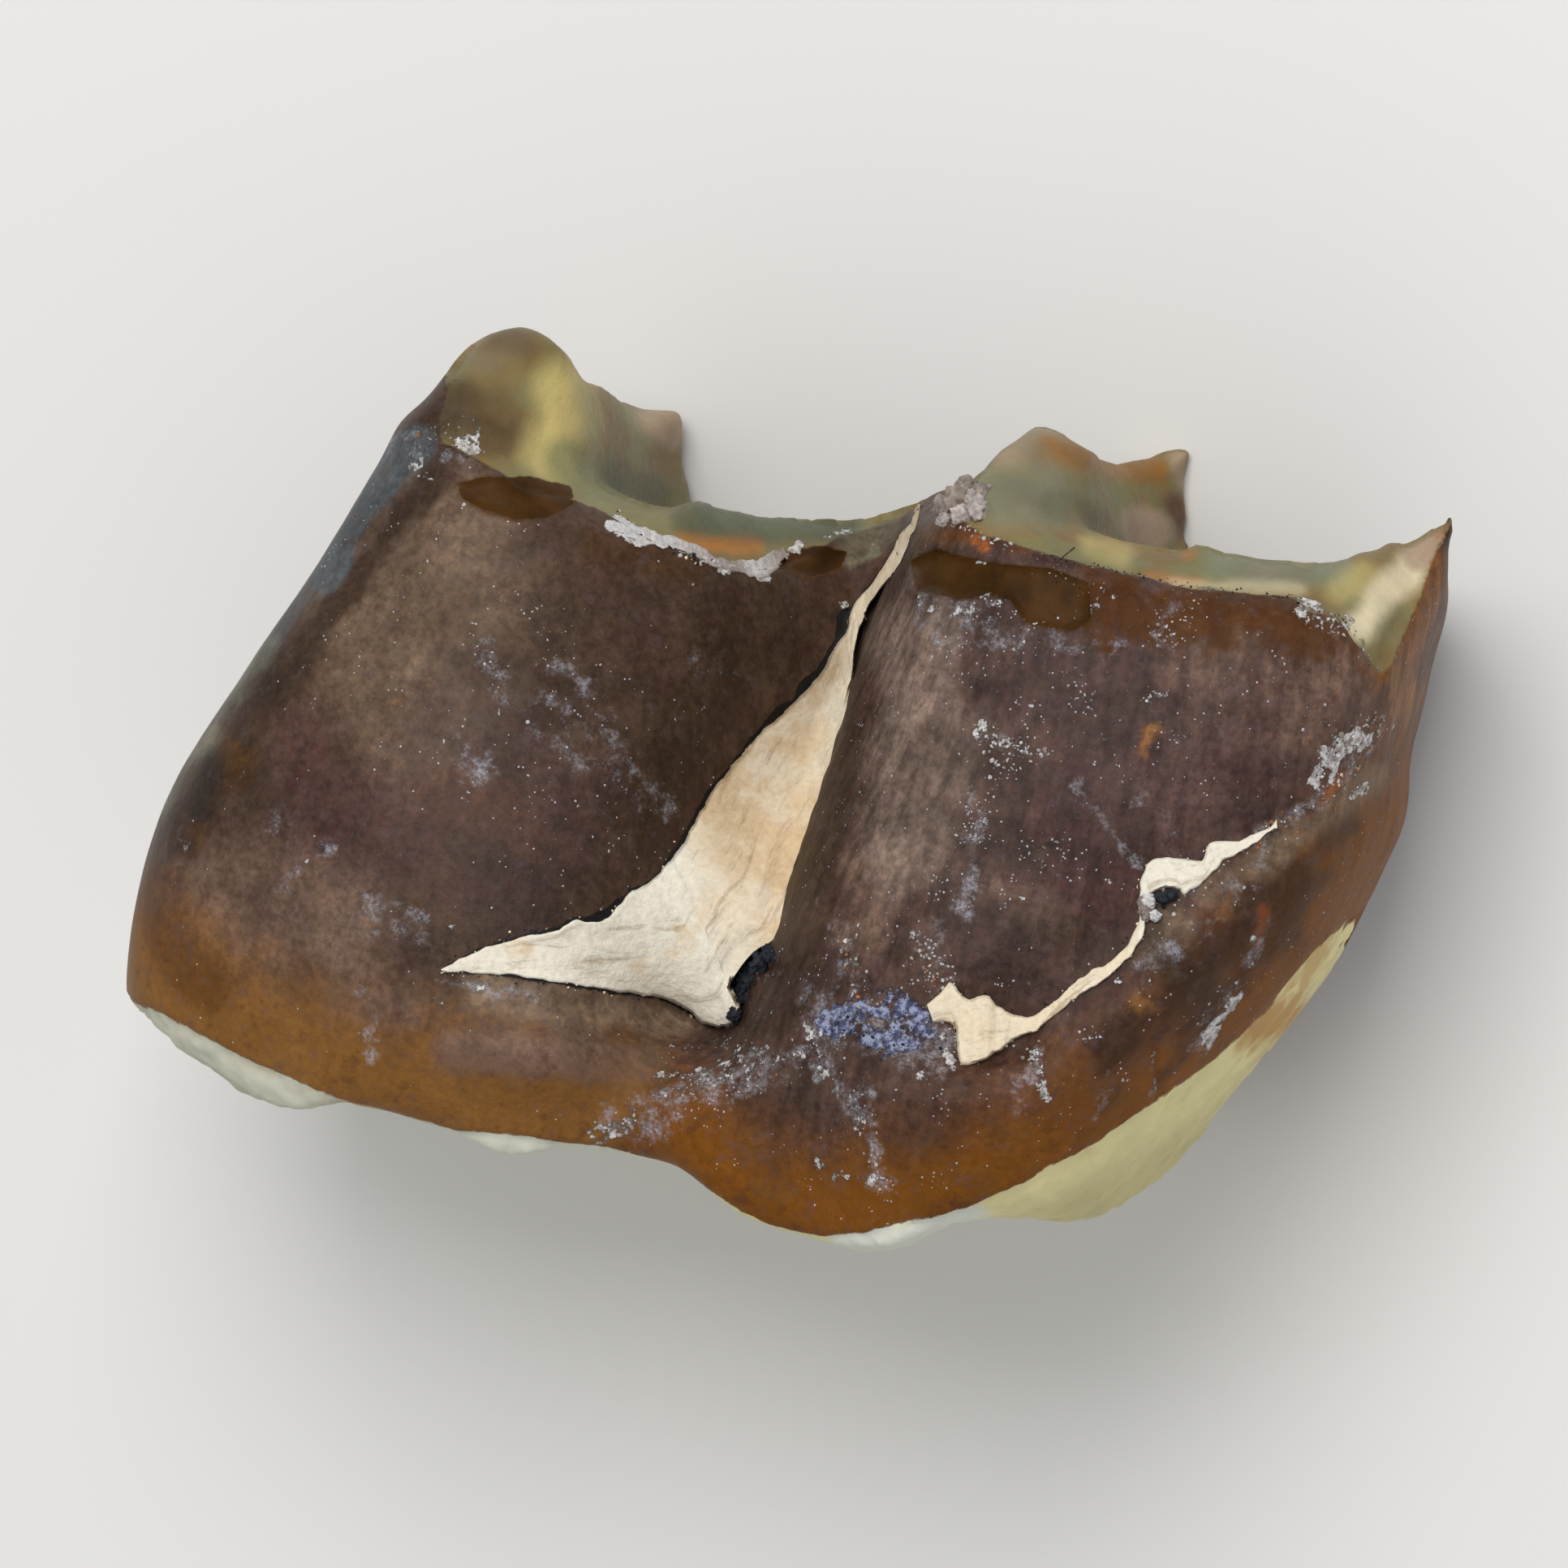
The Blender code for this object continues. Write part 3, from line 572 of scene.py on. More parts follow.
class Marks:
    """Patches on the cheek side, in the order in which they are laid."""

    lobes: tuple[Mark, ...] = stains(
        (Tint.PURPLE_BROWN, 1.2, 1.5, 0.85, 0.12, 15.3, 9.99, 17.41, 9.93, 19.12, 8.96, 17.5, 7.08,
         16.06, 5.8),
        # Painted shade: the two deep brown marks below darken the rear lobe's right side, where it
        # slopes into the groove.
        (Tint.DEEP_BROWN, 0.9, 1.6, 0.4, 0.12, 6.8, 6.81, 8.04, 5.32, 7.25, 3.5),
        (Tint.DEEP_BROWN, 0.3, 0.9, 0.6, 0.12, 10.34, 8.85, 9.73, 6.8, 8.72, 4.66, 7.79, 3.62),
        # Painted sheen: the two taupe patches below are a light colour on the rear lobe that stands in
        # for the lamp's soft reflection.
        (Tint.TAUPE, 0.35, 1.6, 0.62, 0.3, 4.89, 8.84, 4.17, 7.44, 5.1, 6.15),
        (Tint.TAUPE, 0.1, 1, 0.2, 0.3, 6.21, 9.27, 6.45, 7.96),
        (Tint.PINK_TAUPE, 0.3, 1.1, 0.6, 0.12, 2.04, 2.17, 3.07, 2.68, 4.32, 2.69),
        (Tint.PINK_TAUPE, 0.2, 0.9, 0.4, 0.12, 3.33, 1.24, 4.94, 1.61),
        # Painted sheen: a light grey strip on the front lobe that stands in for the lamp's soft
        # reflection.
        (Tint.SHEEN_GREY, 0.3, 0.9, 0.8, 0.2, 12.98, 8.92, 13.49, 7.66, 13.41, 5.74),
        (Tint.PINK_TAUPE, 0.5, 1.2, 0.45, 0.3, 18.12, 9.82, 19.42, 10.39, 20.07, 9.86),
        (Tint.TAUPE, 0.15, 0.45, 0.7, 0.12, 6.99, 1.87, 8.9, 2.1, 10.13, 2.25),
        (Tint.DEEP_BROWN, 0.1, 0.4, 0.6, 0.12, 11.01, 2.04, 11.87, 2.65),
        (Tint.DEEP_BROWN, 0.22, 0.45, 0.75, 0.12, 11.98, 8.28, 11.88, 6.48, 12.03, 4.87, 12.07, 3.51),
        (Tint.DEEP_BROWN, 0.5, 0.9, 0.35, 0.12, 14.16, 7, 15.93, 4.95, 17.54, 5.32),
        # Painted shade: darker brown on the front lobe's right-facing wall.
        (Tint.DEEP_BROWN, 0.35, 0.7, 0.8, 0.3, 18.3, 4.95, 19.29, 4.9, 19.75, 6.23),
        (Tint.WINE, 0.3, 0.7, 0.6, 0.3, 17.37, 3.91, 18.85, 4.25),
        (Tint.TAUPE, 0.12, 0.4, 0.6, 0.3, 18.1, 5.31, 19.12, 6.64, 19.94, 7.51),
        (Tint.RED_BROWN, 0.3, 0.6, 0.7, 0.3, 20.02, 6.29, 20.55, 7.24),
        (Tint.CHIP_AMBER, 0.3, 0.5, 0.7, 0.3, 20.4, 8.02, 20.8, 8.93, 21.01, 10.08),
        (Tint.TAUPE, 0.15, 0.4, 0.5, 0.3, 20.82, 6.48, 20.92, 7.46),
        (Tint.ORANGE_BROWN, 0.3, 0.4, 0.85, 0.3, 20.83, 10.31, 21.07, 11.32, 21.33, 12.2),
        (Tint.CARAMEL, 0.15, 0.3, 0.6, 0.3, 20.7, 10.28, 21.17, 9.97),
        (Tint.PURPLE_BROWN, 0.2, 0.6, 0.2, 0.12, 8.29, 2.37, 7.25, 3.5),
        (Tint.DEEP_BROWN, 0.1, 0.4, 0.5, 0.12, 16.25, 4.75, 17.35, 6.37),
        (Tint.PURPLE_BROWN, 0.3, 1, 0.6, 0.12, 3.82, 3.94, 5.45, 4.18),
        (Tint.STAIN_ORANGE, 0.03, 0.14, 0.6, 0.25, 4.69, 6.11, 4.88, 6.21),
        (Tint.STAIN_ORANGE, 0, 0.14, 0.5, 0.3, 17.06, 8.14, 17.11, 8.5),
        (Tint.LOPH_ORANGE, 0.04, 0.2, 0.5, 0.3, 17.69, 4.19, 17.92, 3.97),
        (Tint.STAIN_ORANGE, 0.03, 0.14, 0.7, 0.3, 19.99, 8, 20.36, 8.29),
        (Tint.LOPH_ORANGE, 0.02, 0.12, 0.7, 0.12, 2.4, 6.96),
        (Tint.LOPH_GREY, 0.1, 0.22, 0.85, 0.12, 1.67, 4.88, 1.38, 4.14, 1.16, 3.61),
        (Tint.DEEP_BROWN, 0.12, 0.3, 0.8, 0.3, 1.82, 3.83, 1.47, 3.41),
        (Tint.DEEP_BROWN, 0.2, 0.35, 0.85, 0.3, 4.46, 10.85, 5.09, 10.86),
        (Tint.CHIP_BROWN, 0.15, 0.35, 0.85, 0.12, 2.29, 4.69, 1.91, 3.85, 1.72, 3.19),
        (Tint.DEEP_BROWN, 0.2, 0.35, 0.7, 0.12, 3.1, 6.78, 2.72, 6.15),
        (Tint.PINK_TAUPE, 0.1, 0.45, 0.7, 0.2, 12.61, 5.14, 13, 4.14),
        (Tint.PINK_TAUPE, 0.1, 0.5, 0.35, 0.2, 15.14, 5.45, 15.88, 5.21),
        (Tint.TAUPE, 0.1, 0.35, 0.7, 0.12, 19.96, 7.38, 20.68, 8.02),
        # Painted shade and rim light along the rear lobe's left edge: the deep brown and near-black
        # bands are painted shade where the surface turns away, and the blue-grey and green-grey strips
        # outside them are painted rim light.
        (Tint.DEEP_BROWN, 0.12, 0.28, 0.95, 0.12, 4.77, 9.9, 4.18, 8.94, 3.6, 7.86, 3.17, 6.94, 2.77,
         6.03, 2.41, 5.19),
        (Tint.BLUE_GREY, 0.2, 0.22, 0.92, 0.1, 4.28, 10.36, 3.66, 9.07, 3.09, 7.85),
        (Tint.BLUE_GREY, 0.12, 0.2, 0.6, 0.1, 2.9, 7.49, 2.54, 6.79),
        (Tint.GREEN_GREY, 0.06, 0.2, 0.4, 0.1, 2.43, 6.63, 2.06, 5.97, 1.86, 5.38),
        (Tint.NEAR_BLACK, 0.1, 0.3, 0.6, 0.12, 1.65, 4.33, 1.65, 3.58),
        (Tint.PURPLE_BROWN, 0.5, 1, 0.5, 0.2, 5.71, 5.88, 7.82, 5, 6.94, 3.7),
        (Tint.RED_BROWN, 0.1, 0.6, 0.3, 0.3, 5.9, 4.83, 7.04, 4.68),
        (Tint.WINE, 0.3, 0.8, 0.45, 0.3, 15.89, 6.71, 16.73, 5.95),
        (Tint.WINE, 0.2, 0.7, 0.45, 0.3, 3.5, 4.96, 4.18, 4.3),
    )
    base: tuple[Mark, ...] = stains(
        (Tint.TAUPE, 0.12, 0.4, 0.6, 0.12, 6.99, 1.87, 8.91, 2.08, 10.14, 2.18),
        (Tint.DEEP_BROWN, 0.1, 0.4, 0.5, 0.12, 11.15, 2.01, 11.9, 2.52),
        (Tint.PINK_TAUPE, 0.12, 0.4, 0.55, 0.12, 6.62, 0.83, 8.8, 1.12),
        (Tint.PINK_TAUPE, 0.1, 0.5, 0.45, 0.12, 4.73, 1.22, 5.69, 1.3),
        (Tint.RED_BROWN, 0.25, 0.5, 0.7, 0.12, 17.36, 3.23, 18.62, 4.74, 19.39, 5.88),
        (Tint.DEEP_BROWN, 0.2, 0.4, 0.6, 0.12, 18.33, 4.81, 19.04, 5.52),
        (Tint.RED_BROWN, 0.2, 0.5, 0.5, 0.12, 14.64, 2.05, 16.38, 2.45),
        (Tint.CHIP_AMBER, 0.2, 0.5, 0.5, 0.12, 1.42, 2.16, 1.85, 1.31, 2.42, 0.89),
        (Tint.DEEP_BROWN, 0.15, 0.4, 0.6, 0.12, 1.56, 4.11, 1.52, 3.14),
        # Painted shade: a darker brown band down the front lobe's right-facing wall.
        (Tint.DEEP_BROWN, 0.15, 0.6, 0.75, 0.6, 17.55, 3.34, 18.39, 4.49, 19.27, 5.78, 19.91, 6.89,
         20.45, 7.76),
        (Tint.TAUPE, 0.08, 0.3, 0.75, 0.12, 19.23, 6.77, 20.05, 7.64, 20.86, 8.57),
        (Tint.CHIP_AMBER, 0.1, 0.4, 0.6, 0.12, 19.24, 5.16, 19.91, 6.13),
        (Tint.PINK_TAUPE, 0.1, 0.4, 0.6, 0.12, 6.63, 0.76, 8.8, 1.12, 9.87, 1.37),
        (Tint.NEAR_BLACK, 0.12, 0.3, 0.6, 0.12, 1.95, 4.4, 1.95, 3.65),
        (Tint.LOPH_ORANGE, 0.02, 0.2, 0.6, 0.3, 17.68, 4.15, 18.04, 4.07),
        (Tint.RUST, 0, 0.14, 0.6, 0.2, 19.44, 6.03, 19.44, 5.48),
        (Tint.RUST, 0.02, 0.15, 0.6, 0.2, 20.06, 8.01, 20.33, 8.42),
    )
    amber: tuple[Mark, ...] = stains(
        (Tint.CHIP_AMBER, -0.1, 0.7, 0.85, 0.6, 15.67, 10.6, 17.11, 10.78, 19, 11.16, 19.29, 11.11,
         19.95, 10.52, 18.82, 10.6, 18.03, 10.32, 16.71, 9.91, 15.76, 9.76),
        filled=True,
    )
    chips: tuple[Mark, ...] = stains(
        (Tint.CHIP_BROWN, 0, 0.07, 0.97, 0.04, 5.13, 9.85, 5.51, 10.04, 6.31, 10.25, 6.94, 10.26, 7.09,
         9.99, 6.7, 9.66, 6.17, 9.5, 5.6, 9.54, 5.24, 9.63),
        (Tint.CHIP_BROWN, 0, 0.08, 0.95, 0.05, 12.73, 10.29, 13.1, 10.58, 13.53, 10.54, 14.15, 10.55,
         15.04, 10.67, 15.67, 10.6, 15.79, 10.04, 15.59, 9.8, 15.18, 9.75, 14.76, 9.76, 14.45, 10.05,
         14.1, 10.05, 13.65, 9.87, 12.92, 9.86),
        (Tint.CHIP_BROWN, 0, 0.1, 0.9, 0.05, 10.57, 9.73, 10.75, 10.07, 11.2, 10.26, 11.68, 10.26, 11.62,
         9.97, 11.16, 9.73),
        filled=True,
    )
    rims: tuple[Mark, ...] = stains(
        (Tint.CHIP_BROWN, 0.1, 0.3, 0.5, 0.12, 7.52, 9.37, 8.29, 9.34, 9.12, 9.4),
        (Tint.LOPH_GREY, 0.15, 0.3, 0.5, 0.2, 11.8, 10.83, 11.73, 10.41, 12.22, 10.79),
        (Tint.LOPH_GREY, 0, 0.12, 0.9, 0.1, 11.74, 10.04, 12.13, 10.36),
        (Tint.CHIP_AMBER, 0.08, 0.22, 0.85, 0.1, 12.67, 10.65, 13.59, 10.94, 14.83, 11.03, 16.08, 11.08),
        (Tint.NEAR_BLACK, 0, 0.1, 0.7, 0.1, 13.57, 10.66, 13.02, 10.62),
        (Tint.RUST, 0.03, 0.1, 0.9, 0.05, 13.74, 10.89, 13.9, 10.77),
    )
    lophs: tuple[Mark, ...] = stains(
        (Tint.LOPH_GREEN, 0.3, 0.4, 0.6, 0.12, 7.73, 10.17, 8.95, 10.38, 10.07, 10.36),
        (Tint.GREEN_GREY, 0.12, 0.3, 0.7, 0.12, 9.37, 10.34, 10.47, 10.46, 11.66, 10.8),
        (Tint.STAIN_ORANGE, 0.05, 0.16, 0.9, 0.1, 8.98, 9.8, 9.59, 9.89, 10.16, 10.02),
        (Tint.LOPH_OLIVE, 0.25, 0.5, 0.7, 0.12, 5.16, 11.22, 5.36, 11.67, 5.69, 12.16),
        (Tint.LOPH_GREY, 0.1, 0.4, 0.7, 0.12, 5.66, 12.36, 5.16, 12.04),
        (Tint.LOPH_YELLOW, 0.12, 0.6, 0.95, 0.12, 6.46, 11.79, 6.69, 11.3, 6.51, 10.71),
        (Tint.LOPH_GREEN, 0.15, 0.4, 0.8, 0.12, 6.8, 10.64, 7.41, 10.37),
        (Tint.LOPH_PINK, 0.15, 0.3, 0.75, 0.12, 8, 11.73, 8.43, 11.7),
        (Tint.DEEP_BROWN, 0.1, 0.3, 0.5, 0.3, 4.83, 10.73, 5.67, 10.72),
        (Tint.LOPH_PINK, 0.15, 0.4, 0.45, 0.12, 14.02, 12.43, 14.49, 12.95, 14.8, 12.75),
        (Tint.GREEN_GREY, 0.2, 0.5, 0.6, 0.12, 14.03, 11.62, 14.84, 11.8),
        (Tint.LOPH_ORANGE, 0.12, 0.28, 0.9, 0.12, 14.69, 12.62, 15.52, 12.6, 16.58, 12.85),
        (Tint.LOPH_PINK, 0.1, 0.2, 0.7, 0.12, 16.97, 13.11, 17.1, 12.8),
        (Tint.RED_BROWN, 0.1, 0.25, 0.9, 0.12, 17.05, 12.31, 17.23, 12.08),
        (Tint.LOPH_GREEN, 0.1, 0.4, 0.5, 0.12, 14.92, 12.09, 16.02, 12.21),
        (Tint.LOPH_OLIVE, 0.05, 0.25, 0.7, 0.12, 15.35, 11.65),
        (Tint.LOPH_YELLOW, 0.06, 0.3, 0.4, 0.12, 15.65, 11.17, 16.14, 11.14),
        (Tint.LOPH_PINK, 0.2, 0.25, 0.85, 0.12, 16.37, 11.81, 16.78, 11.84),
        (Tint.LOPH_OLIVE, 0.05, 0.2, 0.8, 0.12, 16.67, 11.33, 17.01, 11.37),
        (Tint.STAIN_ORANGE, 0.05, 0.16, 0.9, 0.12, 17.24, 11.48),
        (Tint.GREEN_GREY, 0.15, 0.25, 0.6, 0.12, 17.71, 11.37, 18.66, 11.52, 19.73, 11.76),
        (Tint.STAIN_ORANGE, 0.05, 0.15, 0.5, 0.12, 16.67, 10.92, 17.49, 11.04),
        (Tint.CREST_CREAM, 0, 0.22, 0.36, 0.12, 17.09, 10.92, 18.17, 11.1, 19.12, 11.28),
        (Tint.LOPH_OLIVE, 0.05, 0.2, 0.8, 0.12, 20.32, 12.35, 20.86, 12.47),
        (Tint.LOPH_YELLOW, 0.1, 0.3, 0.4, 0.12, 19.79, 11.43, 20.16, 11.72),
        (Tint.CREST_CREAM, 0.08, 0.34, 0.9, 0.12, 20.23, 10.92, 20.48, 11.46, 20.94, 12.04),
        (Tint.LOPH_PINK, 0.1, 0.22, 0.9, 0.12, 21.04, 12.27, 21.31, 12.67),
        (Tint.SPIRE_PINK, 0.12, 0.25, 0.9, 0.12, 21.4, 12.96, 21.5, 12.78),
        (Tint.DEEP_BROWN, 0.05, 0.6, 0.45, 0.1, 4.68, 11.25, 5.16, 11.22, 5.51, 11.23),
        (Tint.LOPH_ORANGE, 0.1, 0.4, 0.25, 0.1, 5.14, 12.14, 5.96, 12.25),
        # Painted shade: dark green bands on the lower loph walls, just behind the rims.
        (Tint.LOPH_DARK, 0.12, 0.35, 0.45, 0.1, 7.64, 10.63, 8.22, 10.55),
        (Tint.LOPH_DARK, 0.12, 0.3, 0.65, 0.1, 8.98, 10.18, 10.35, 10.36, 11.54, 10.7),
        (Tint.LOPH_DARK, 0.12, 0.3, 0.4, 0.1, 14.98, 11.76, 15.55, 11.69),
        (Tint.LOPH_GREY, 0.08, 0.2, 0.5, 0.1, 18.24, 11.49, 19.2, 11.63),
        (Tint.DEEP_BROWN, 0.1, 0.45, 0.6, 0.1, 4.64, 10.89, 4.95, 11.24),
        (Tint.DEEP_BROWN, 0.05, 0.35, 0.35, 0.1, 5.32, 12.28, 5.81, 12.3),
        (Tint.LOPH_GREY, 0.1, 0.3, 0.5, 0.1, 14.43, 12.53, 14.76, 12.19),
    )
    roots: tuple[Mark, ...] = stains(
        (Tint.DENTINE_GREY, 0.2, 0.35, 0.95, 0.12, 13.73, -0.68, 14.54, -0.5, 15.49, 0),
        (Tint.DENTINE_GREY, 0.3, 0.5, 0.75, 0.12, 7.02, -0.65, 8.51, -0.38, 9.86, -0.13),
        (Tint.DENTINE_GREY, 0.1, 0.5, 0.5, 0.12, 1.14, 0.19, 2.63, -0.29, 4.65, -0.65),
        (Tint.STAIN_ORANGE, 0.14, 0.45, 0.7, 0.12, 19.71, 4.15, 20.35, 4.46),
        (Tint.STAIN_ORANGE, 0.03, 0.3, 0.5, 0.12, 20.36, 5.15, 20.58, 5.88),
    )
    dust: tuple[Mark, ...] = marks(
        (0.15, 0.4, 0.6, 0.12, 6.03, 7.18, 6.39, 6.72),
        (0.2, 0.7, 0.62, 0.12, 7.3, 6.4, 8.4, 6.1, 9.3, 5.6), (0.1, 0.5, 0.6, 0.12, 5.6, 5.6, 6.6, 5.3),
        (0.08, 0.3, 0.7, 0.12, 4.04, 3.52), (0.15, 0.45, 0.64, 0.12, 4.75, 2.65, 6.3, 2.6),
        (0.2, 0.45, 0.85, 0.12, 9.95, 0.39, 11.03, 1.16, 12.02, 1.82),
        (0.03, 0.15, 0.9, 0.12, 11.07, 0.92, 11.8, 1.54, 12.41, 2.15),
        (0.1, 0.25, 0.8, 0.12, 9.38, 0.38, 10.05, 0.05), (0.05, 0.2, 0.6, 0.12, 5, 1.4, 5.4, 0.7),
        (0.02, 0.12, 0.5, 0.12, 6.6, 2, 7.6, 2.05, 9.6, 2.2),
        (0.35, 0.4, 0.85, 0.12, 12.64, 2.83, 13.53, 2.76, 14.4, 2.71),
        (0.08, 0.4, 0.6, 0.12, 13.13, 2.13, 13.66, 1.28, 14.08, 0.26),
        (0.05, 0.3, 0.5, 0.12, 12.6, 2, 13.2, 1.2), (0.1, 0.35, 0.6, 0.12, 13.91, 4.14, 14.44, 3.7),
        (0.1, 0.3, 0.62, 0.12, 12.63, 4.11, 13.15, 3.15),
        (0.05, 0.35, 0.55, 0.12, 14.3, 6.9, 14.4, 5.6, 14.2, 4.6),
        (0.12, 0.3, 0.65, 0.12, 14.45, 7.75, 15.3, 7.67), (0.1, 0.35, 0.6, 0.12, 17.1, 10.5, 17, 9.9),
        (0.15, 0.4, 0.6, 0.12, 14.6, 9.4, 15.5, 9.7, 16.4, 9.6),
        (0.05, 0.25, 0.68, 0.12, 18.81, 3.63, 19.18, 4.74, 19.52, 5.79),
        (0.1, 0.25, 0.7, 0.12, 18.91, 6.92, 19.4, 7.38, 20.13, 8.1, 20.86, 9.36),
        (0.05, 0.3, 0.72, 0.12, 12.9, 9.95, 13.4, 9.8, 14.1, 9.75),
        (0.1, 0.35, 0.7, 0.12, 3.9, 10.3, 4.6, 10.4, 5.4, 10.45),
        (0.1, 0.4, 0.55, 0.12, 2.9, 9.3, 3.9, 10.2), (0.08, 0.2, 0.7, 0.12, 15.9, 2.5, 16.1, 1.9),
        (0.05, 0.2, 0.6, 0.12, 17.3, 2.9, 17.4, 2.2), (0.05, 0.3, 0.55, 0.12, 13.1, 0.6, 14, 0.2),
        (0.1, 0.4, 0.68, 0.12, 7.41, 7.29, 8.12, 6.84), (0.08, 0.25, 0.75, 0.12, 6.17, 7.35, 6.39, 6.72),
        (0.05, 0.3, 0.7, 0.12, 9.53, 7.92, 10.17, 7.86), (0.1, 0.4, 0.55, 0.12, 3.68, 2.41, 3.13, 3.92),
        (0.05, 0.2, 0.78, 0.12, 12.74, 3.67, 13.08, 2.93),
        (0.06, 0.3, 0.72, 0.12, 12.64, 2.28, 13.18, 1.58, 13.89, 0.79),
        (0.05, 0.25, 0.7, 0.12, 14.42, 6.38, 14.54, 4.9),
        (0.06, 0.3, 0.66, 0.12, 17.16, 7.42, 17.84, 6.75),
        (0.1, 0.35, 0.6, 0.12, 17.68, 4.53, 18.59, 5.69, 19.23, 6.8),
        (0.02, 0.1, 0.75, 0.12, 18.15, 2.72, 18, 3.92), (0.04, 0.2, 0.92, 0.12, 12.39, 2.5, 12.73, 1.75),
        (0.04, 0.15, 0.98, 0.12, 12.87, 3.7, 13.09, 3.27),
        (0.05, 0.2, 0.92, 0.12, 13.57, 1.74, 13.98, 0.26),
        (0.05, 0.25, 0.9, 0.12, 14.55, 6.41, 14.6, 4.98),
        (0.05, 0.15, 0.98, 0.12, 16.21, 3.03, 16.15, 2.54),
        (0.04, 0.25, 0.86, 0.12, 16.06, 7.3, 17.22, 6.34),
        (0.04, 0.2, 0.88, 0.12, 6.37, 5.69, 6.37, 5.28),
        (0.04, 0.2, 0.86, 0.12, 6.01, 1.85, 6.85, 1.88, 7.81, 1.96),
        (0.05, 0.15, 0.95, 0.12, 5.23, 0.78, 5.34, 0.33),
    ) + marks(
        (0, 0.3, 0.78, 0.12, 12.9, 9.9, 13.5, 9.7, 14.3, 9.6, 14.2, 9.2, 13.5, 9.2, 13, 9.4),
        filled=True,
    )
    crusts: tuple[Mark, ...] = marks(
        (0.1, 0.12, 1, 0.1, 7.73, 9.79, 8.01, 9.76, 8.24, 9.63),
        (0.02, 0.12, 0.9, 0.06, 8.37, 9.69, 8.93, 9.71, 9.39, 9.59),
        (0.04, 0.14, 0.95, 0.1, 9.63, 9.55, 10.14, 9.59, 10.49, 9.55),
        (0.02, 0.14, 0.9, 0.1, 10.54, 9.65, 10.6, 9.9, 10.87, 10.18),
        (0.05, 0.12, 0.8, 0.1, 11.27, 10.41, 11.67, 10.64),
        (0, 0.07, 0.8, 0.05, 13.81, 10.49, 13.97, 10.54),
        (0.05, 0.28, 0.64, 0.2, 12.98, 9.67, 13.48, 9.64, 13.88, 9.74, 14.31, 9.93),
        (0, 0.2, 0.6, 0.3, 14.31, 9.11, 14.59, 9.28, 14.81, 9.47),
        (0.03, 0.25, 0.68, 0.3, 14.49, 7.9, 14.87, 7.71, 15.5, 7.72),
        (0, 0.2, 0.55, 0.3, 14.57, 7.44, 14.87, 7.37), (0.05, 0.3, 0.5, 0.3, 15.6, 9.11, 15.96, 8.64),
        (0, 0.2, 0.6, 0.3, 16.78, 8.9, 17.13, 9.12), (0, 0.22, 0.5, 0.3, 17.41, 8.5, 17.69, 8.36),
        (0, 0.22, 0.45, 0.3, 15.98, 9.33, 17.04, 9.64),
        (0.02, 0.22, 0.6, 0.3, 14.55, 6.41, 14.69, 6.03, 14.61, 5.67),
        (0.02, 0.25, 0.48, 0.3, 14.45, 5.43, 14.7, 4.8), (0, 0.15, 0.62, 0.2, 15.37, 5.34, 15.6, 5.39),
        (0.05, 0.25, 0.55, 0.3, 13.94, 4.35, 14.25, 4.22, 14.18, 3.79),
        (0, 0.22, 0.5, 0.3, 16.49, 6.85, 16.82, 6.59, 17.14, 6.39), (0, 0.18, 0.62, 0.2, 17.53, 7.3),
        (0.03, 0.16, 0.72, 0.2, 12.81, 3.68, 12.97, 3.38, 13.06, 3.22),
        (0.05, 0.15, 0.85, 0.2, 14.63, 2.87, 14.81, 2.5),
        (0.02, 0.14, 0.62, 0.3, 12.33, 2.45, 12.66, 2.15, 12.96, 1.67),
        (0.02, 0.2, 0.55, 0.3, 13.33, 2.16, 13.57, 1.13, 13.8, 0.36),
        (0.05, 0.3, 0.6, 0.3, 13.96, 2.31, 14.34, 2.12),
        (0.03, 0.16, 0.75, 0.2, 16, 2.98, 16.24, 2.83, 16.43, 2.33),
        (0, 0.22, 0.5, 0.3, 16.91, 3.4, 17.14, 3.65), (0, 0.2, 0.65, 0.2, 17.54, 2.97, 17.67, 2.86),
        (0, 0.07, 0.6, 0.1, 18.05, 3.39, 18.21, 2.74),
        (0.06, 0.14, 0.85, 0.2, 18.89, 3.85, 19.07, 4.17, 19.2, 4.47),
        (0, 0.16, 0.6, 0.3, 19.24, 4.82, 19.38, 5.19, 19.43, 5.54),
        (0.09, 0.2, 0.86, 0.3, 19.95, 8.4, 20.24, 8.94, 20.54, 9.22),
        (0.06, 0.16, 0.75, 0.3, 20.61, 9.37, 20.89, 9.57),
        (0.03, 0.14, 0.8, 0.3, 20.58, 8.2, 20.79, 8.36),
        (0.05, 0.16, 0.75, 0.3, 19.16, 11.04, 19.58, 11.04, 19.94, 10.99),
        (0, 0.2, 0.55, 0.3, 15.75, 10.62, 16.11, 10.52, 15.9, 10.13),
        (0, 0.18, 0.6, 0.3, 17.08, 10.67, 17.19, 10.36), (0, 0.07, 0.5, 0.3, 18.2, 10.96, 19.12, 11.14),
        (0.1, 0.3, 0.58, 0.3, 10.21, 1.04, 10.86, 1.32, 11.48, 1.74, 12.25, 2.12),
        (0.05, 0.16, 0.7, 0.3, 9.33, 0.09, 9.72, 0.24, 9.9, 0.42),
        (0, 0.16, 0.6, 0.3, 13.06, 0.74, 13.27, 0.72), (0.02, 0.12, 0.7, 0.3, 13.55, 0.3, 14.04, 0.35),
        (0, 0.12, 0.6, 0.3, 12.99, 0.34, 13.27, 0.35),
        (0.02, 0.2, 0.6, 0.3, 5.9, 1.69, 6.14, 1.54, 6.83, 1.97),
        (0.02, 0.14, 0.6, 0.3, 5.17, 0.7, 5.37, 0.4),
        (0.05, 0.3, 0.42, 0.3, 5.01, 2.78, 5.84, 2.84, 6.27, 2.73),
